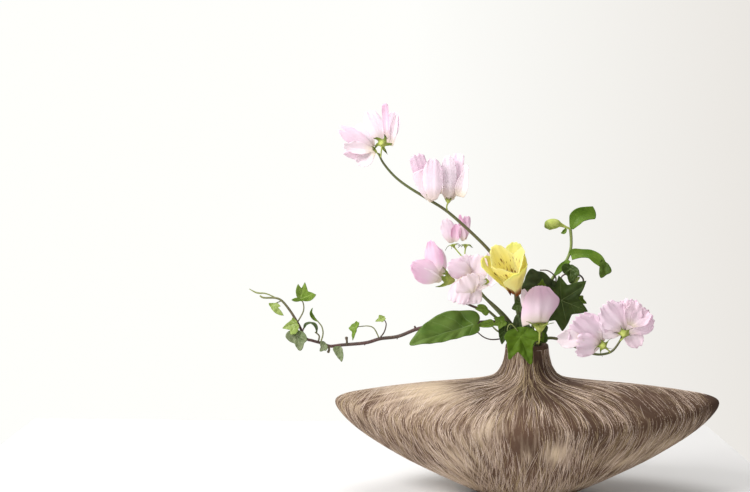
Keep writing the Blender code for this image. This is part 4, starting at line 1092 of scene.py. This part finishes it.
# ---- ivy ----
# each stem is its name, its route, its radii, how young its bark is from foot to tip, and its
# branches; each branch is its route, its radii and how young its bark is
IVY_STEMS = (
    ("ivy_vine",
     ((-12.5, -1, BASE_Z), (-12.5, -1, 80), (-12.5, -1, 150), (-18, -3, 170), (-26, -6, 177), (-35, -9, 181),
      (-57, -15, 181), (-81, -19, 180), (-102, -22, 178), (-116, -24, 175), (-134, -25, 168),
      (-152, -28, 166), (-167, -30, 162), (-191, -32, 160), (-203, -34, 159), (-211, -35, 162),
      (-221, -36, 165), (-228, -37, 168), (-235, -38, 182), (-245, -38, 198), (-255, -38, 208),
      (-270, -38, 209), (-274, -38, 211)),
     (1.8, 1.8, 1.9, 1.8, 1.7, 1.5, 1.3, 0.8), (0, 0, 0, 0, 0, 0, 0, 0.35, 0.75),
     (
      (((-13, -1.5, 158), (-19, -6, 165), (-28, -12, 164), (-38, -17, 164), (-46, -21, 167), (-53, -25, 173)),
       (0.8, 0.6), 0),
      (((-153, -28, 166), (-158, -28, 176), (-164, -28, 179), (-174.3, -29.6, 178.6)), (0.7, 0.5), 0.6),
      (((-153, -28, 166), (-148, -28, 173), (-146, -28, 181), (-148, -28.5, 186)), (0.8, 0.5), 0.1),
      (((-213, -35, 162), (-210, -39, 172), (-211, -41, 180), (-215.3, -43, 186.2)), (0.8, 0.6), 0.7),
      (((-231, -37, 174), (-230, -41, 177), (-229, -44, 179)), (0.7, 0.9), 0.1),
      (((-228, -37, 169), (-230, -40, 172), (-235, -43.5, 172.5)), (0.7, 0.5), 0.3),
      (((-236, -38, 184), (-230, -40, 195), (-229.5, -41.5, 203), (-232, -44, 209)), (0.8, 0.55), 0.5),
      (((-235, -38, 182), (-235.5, -40, 183), (-236.5, -42.5, 183.5)), (0.7, 0.5), 0.3),
      (((-252, -38, 206), (-259, -40, 203), (-260, -41, 201)), (0.6, 0.45), 0.5),
      (((-252, -38, 206), (-267, -38, 213), (-277, -38, 214), (-285, -38, 218)), (0.6, 0.7, 0.9, 0.3), 0.8),
      (((-193, -33, 160), (-192.5, -36, 159.5), (-192.5, -38.5, 158.5)), (0.7, 0.5), 0.3),
      (((-209, -35, 161), (-209, -36.5, 163.5), (-209, -37.5, 162.8)), (0.5, 0.4), 0.7),
      (((-186, -32, 160), (-186, -33, 164), (-186.5, -33, 168)), (1.5, 1.1, 1.7), 0.2),
      (((-205, -34, 160), (-204, -36, 156), (-205, -36, 153)), (1.4, 1.2, 1.5), 0.3),
      (((-215, -35, 164), (-214, -37, 170), (-218, -38, 174)), (0.9, 0.7), 0.4),
      (((-167, -30, 162), (-168, -31, 159.5)), (0.9, 0.3), 0),
      (((-134, -25, 168), (-135, -26, 165)), (0.9, 0.3), 0),
      (((-116, -24, 176), (-117, -24, 178.5)), (1.4, 0.9), 0),
     )),
    ("ivy_left_sprig",
     ((-11.5, -6.5, BASE_Z), (-11.5, -6.5, 80), (-11.5, -6.5, 150), (-16.5, -7, 173), (-25, -8, 180),
      (-33, -10, 186), (-43, -11, 194), (-55, -13, 197), (-68, -15, 203)),
     (1.6, 1.5, 1.4, 1.2), (0.3, 0.3, 0.3, 0.5, 0.6, 0.5, 0, 0),
     (
      (((-43, -11, 194), (-42.5, -13, 195), (-43.5, -15.5, 195)), (0.7, 0.5), 0.6),
      (((-12, -7.5, 161), (-14, -15, 169), (-13, -22, 175), (-10.5, -28, 170)), (0.7, 0.6), 0.9),
      (((-16.5, -7, 173), (-13, -16, 172), (-10.5, -23, 174.5)), (0.7, 0.5), 0.3),
      (((-14, -6.8, 164), (-8, -13, 188), (-9, -21, 203)), (0.7, 0.5), 0.2),
      (((-33, -10, 186), (-30, -18, 186), (-28.3, -23.5, 183.5)), (0.6, 0.5), 0.7),
      (((-25, -8, 172), (-30, -18, 172), (-36, -23, 177), (-38.4, -23.5, 181)), (1, 0.9, 0.5), 1),
      (((-22.7, -30, 175), (-21.7, -32.5, 180.7), (-18.2, -33, 182), (-12.2, -31, 175)), (0.45, 0.5), 1.3),
     )),
    ("ivy_right_sprig",
     ((6, -0.2, BASE_Z), (6, -0.2, 80), (7, -0.5, 150), (13, -4, 172), (20, -5, 192)),
     (1.5, 1.4, 1.1), 0,
     (
      (((16, -4.5, 182), (26, -4, 192), (33, -7, 204)), (0.8, 0.6), 0.1),
      (((20, -5, 190), (26, -1, 201), (29, -3, 222), (27, -8, 229), (20, -9, 234.5), (12, -9, 235)),
       (0.8, 0.6), 0),
      (((12, -3.5, 168), (27, -2, 198), (33, -3, 222), (36, -4, 229), (43, -5, 231), (51, -5, 230.5),
        (56.5, -5, 226), (56.8, -5, 219)), (0.8, 0.7, 0.9, 0.9), 0),
      (((20, -5, 192), (16, -9, 206), (13, -13.5, 219)), (0.7, 0.5), 0.5),
      (((49, -5, 230.5), (47, -5, 226), (45.5, -5.5, 222.5)), (0.5, 0.4), 0.6),
      (((33, -7, 204), (42, -5, 205), (51.5, -4, 204.5)), (0.5, 0.4), 0.6),
      (((10, -5, 158), (11, -14, 163), (12, -19.5, 168)), (0.7, 0.5), 0.3),
     )),
)
# name, outline, look, veins, how far the halves fold up, base, tip, the way the upper side looks, width,
# and roll and curl where they are not the usual ones
IVY_LEAVES = (
    ("ivy_big", "heart", "big", PINNATE, 0.1, (-58, -28, 180.5), (-122, -50, 163.5), (0.1, -0.9, 0.4), 45,
     10, 20),
    ("ivy_front", "front", "bright", PALMATE, 0.1, (-9, -30, 169), (1.5, -33, 141), (-0.1, -1, 0.2), 44),
    ("ivy_star", "star", "dark", PALMATE, 0.06, (34, -10, 204), (61, -13, 193), (0, -1, 0.1), 50, 6),
    ("ivy_back", "back", "shaded", PALMATE, 0.1, (24, -3, 217), (-5, -7, 214.5), (0, -1, 0), 40, 15),
    ("ivy_loop", "rounded", "dark", (), 0.2, (43.5, -5, 236), (43.8, -7, 221.5), (0, -1, 0.2), 16),
    ("ivy_neck", "pointed", "dark", PINNATE, 0.2, (-23.5, -18, 180.5), (-27.5, -23, 160), (-0.3, -1, 0), 14),
    ("ivy_sprig", "side", "lime", FEW_VEINS, 0.2, (-44, -16, 195), (-55.2, -18, 196), (0, -0.9, 0.4), 14),
    ("ivy_thin", "mitten", "lime", (), 0.2, (-175, -30, 179.5), (-179.5, -32, 164.5), (-0.8, -0.5, 0.3), 9),
    ("ivy_tiny", "mitten", "young", (), 0.2, (-149, -29.5, 187), (-157, -31, 184), (0, -0.8, 0.6), 9),
    ("ivy_grey", "rounded", "grey", (), 0.15, (-236, -45, 172), (-232, -48, 156.5), (-0.1, -1, 0.2), 22, 15),
    ("ivy_light", "light", "young", (), 0.15, (-237, -43.5, 183), (-251, -44, 178.5), (-0.1, -1, 0.3), 16,
     15),
    ("ivy_upper", "split", "lime", (), 0.15, (-232, -45.5, 209.3), (-227.4, -49, 226.5), (0.1, -0.9, 0.3),
     26),
    ("ivy_tip", "slim", "young", (), 0.2, (-259.5, -42.5, 202), (-249, -45, 191.8), (-0.2, -0.9, 0.3), 14),
    ("ivy_pointed", "wedge", "grey", (), 0.2, (-192.5, -39.8, 158.5), (-190.6, -43, 144.5),
     (-0.2, -0.9, 0.3), 14),
)
# small leaves too slight for a solid of their own
SMALL_LEAVES = (
    ("neck_round", "rounded", "shaded", PALMATE, 0.15, (-8, -24, 174), (-12.5, -24, 191), (0, -1, 0.1), 16),
    ("neck_lobed", "neck", "dark", PALMATE, 0.15, (-9.5, -26, 202), (-18, -26, 197), (0, -1, 0.1), 16),
    ("lip_green", "mitten", "bright", PALMATE, 0.15, (9.5, -21, 169.5), (17.5, -22, 162), (0.1, -1, 0.3), 12),
    ("lip_dark", "rounded", "dark", PALMATE, 0.15, (12, -20, 168), (19, -19, 178.5), (0, -1, 0.1), 12),
    ("pale_narrow", "pointed", "lime", FEW_VEINS, 0.15, (-38, -24, 181.5), (-53.5, -24, 179), (0, -0.9, 0.4),
     8, 30),
    ("lime_lobed", "wide", "lime", FEW_VEINS, 0.15, (-27.5, -24, 184), (-37.5, -24, 179.5), (0, -1, 0.2), 12),
    ("young_tuft", "mitten", "lime", FEW_VEINS, 0.2, (13, -14, 218.5), (14, -15, 227), (0, -1, 0.2), 10, 40,
     20),
    ("loop_pale", "mitten", "young", FEW_VEINS, 0.15, (45.5, -6, 222), (53.5, -6, 228), (0, -1, 0.2), 10),
    ("star_pale", "mitten", "lime", FEW_VEINS, 0.15, (51.5, -4, 204.5), (61, -4, 200), (0, -1, 0.2), 10),
    ("vine_grey", "rounded", "grey", (), 0.15, (-208.5, -38, 160.5), (-213, -40, 154.5), (0, -1, 0.2), 10),
)
# name, look, route, the ways the upper side looks, width, roll, and widths from base to tip
IVY_RIBBONS = (
    ("ivy_narrow_leaf", "lime", ((-215.5, -43, 186), (-219.5, -44, 189.5), (-222, -45, 194),
      (-220, -46, 200)), ((0.5, -0.8, 0.2), (0.5, -0.8, 0.1)), 4.6, 60, (0.3, 0.7, 1, 0.9, 0.6, 0.1)),
    ("ivy_curled_leaf", "shaded", ((-229, -45, 179), (-226, -47, 183.5), (-221, -48, 184.8),
      (-216.6, -48, 180.5), (-215.5, -47, 174)), ((-0.3, -0.8, 0.4), (0, -0.7, 0.7), (0.5, -0.8, 0.2)), 4.6,
     70, (0.3, 0.9, 0.8, 0.5, 1, 0.7, 0.2)),
)


def build_ivy():
    for name, route, radii, ages, branches in IVY_STEMS:
        body = Body()
        tube(body, route, radii, per_span=8, young=ages)
        for path, thickness, young in branches:
            tube(body, path, thickness, sides=9, young=young)
        body.make(f"{name}_stalk", BARK, [name])
    for seed, (name, outline, look, veins, fold, *shape) in enumerate(IVY_LEAVES + SMALL_LEAVES):
        body = Body()
        leaf(body, Blade(*shape), outline, 400 + seed, veins, fold)
        body.make(f"{name}_leaf_blade", LEAF_LOOKS[look], [f"{name}_leaf"] if seed < len(IVY_LEAVES) else [])
    for seed, (name, look, *shape, widths) in enumerate(IVY_RIBBONS):
        body = Body()
        ribbon_leaf(body, Ribbon(*shape), widths, 450 + seed)
        body.make(f"{name}_blade", LEAF_LOOKS[look], [name])


build_shoot()
build_ivy()

# ---- floor, light and camera, in metres ----
TABLE_CORNERS = ((-0.614, -1.2), (0.33, -1.2), (0.259, 0.342), (-0.617, 0.357))
TABLE_THICK, TABLE_ROUNDING = 0.04, 0.002
# name, place, what it is turned to, size and power
LIGHTS = (("key", (-1.1, -0.7, 1.1), (0, 0, 0.12), 0.7, 22), ("top", (-0.1, 0.1, 1.5), (0, 0, 0.1), 1.0, 8))
CAMERA_PLACE, CAMERA_DOWN, CAMERA_LEFT = (-0.1178, -1.4464, 0.3818), 4.86, 1.6
SENSOR, LENS = 36.0, 67.2


def build_stage():
    """A pale table top with rounded edges."""
    mesh = bmesh.new()
    top = mesh.faces.new([mesh.verts.new((x, y, 0)) for x, y in TABLE_CORNERS])
    for made in bmesh.ops.extrude_face_region(mesh, geom=[top])["geom"]:
        if isinstance(made, bmesh.types.BMVert):
            made.co.z = -TABLE_THICK
    bmesh.ops.recalc_face_normals(mesh, faces=mesh.faces)
    bmesh.ops.bevel(mesh, geom=list(mesh.edges), offset=TABLE_ROUNDING, segments=3, affect="EDGES")
    floor = bpy.data.meshes.new("pale_floor")
    mesh.to_mesh(floor)
    mesh.free()
    paint = Surface("floor_paint", None, 0.55, 0.3)
    paint.colour(paint.mix(paint.patches(3.0, 1.0), (0.8, 0.79, 0.785), (0.84, 0.83, 0.825)))
    floor.materials.append(paint.material)
    plate = bpy.data.objects.new("pale_floor", floor)
    bpy.context.collection.objects.link(plate)


def build_world():
    """Pale all round, brighter to the left; the part that the camera sees is paler still, and darker to the
    right as painted shade.
    """
    world = bpy.data.worlds.new("studio")
    bpy.context.scene.world = world
    world.use_nodes = True
    sky = Nodes(world.node_tree)
    across = sky.parts(sky.node("ShaderNodeTexCoord").outputs["Generated"])[0]
    to_right = sky.node("ShaderNodeMapRange", {0: across, 1: 0.0, 2: 0.32}).outputs[0]
    to_left = sky.node("ShaderNodeMapRange", {0: across, 1: 0.8, 2: -0.8}).outputs[0]
    # painted shade: the backdrop that the camera sees darkens to the right, away from the light
    seen = sky.mix(to_right, (1.0, 1.0, 0.97), srgb(226, 221, 215))
    lit = sky.mix(to_left, (0.34, 0.33, 0.32), (0.85, 0.85, 0.83))
    by_camera = sky.node("ShaderNodeLightPath").outputs["Is Camera Ray"]
    sky.feed(sky.tree.nodes["Background"].inputs["Color"], sky.mix(by_camera, lit, seen))


def build_lights():
    for name, place, target, size, power in LIGHTS:
        data = bpy.data.lights.new(name, "AREA")
        data.shape, data.size, data.energy = "DISK", size, power
        lamp = bpy.data.objects.new(name, data)
        lamp.location = place
        lamp.rotation_euler = (Vector(target) - Vector(place)).to_track_quat("-Z", "Y").to_euler()
        bpy.context.collection.objects.link(lamp)


def build_camera():
    data = bpy.data.cameras.new("camera")
    data.sensor_width, data.lens = SENSOR, LENS
    camera = bpy.data.objects.new("camera", data)
    camera.location = CAMERA_PLACE
    camera.rotation_euler = (math.radians(90 - CAMERA_DOWN), 0, math.radians(CAMERA_LEFT))
    bpy.context.collection.objects.link(camera)
    bpy.context.scene.camera = camera


build_stage()
build_world()
build_lights()
build_camera()
bpy.context.scene.view_settings.view_transform = "Standard"
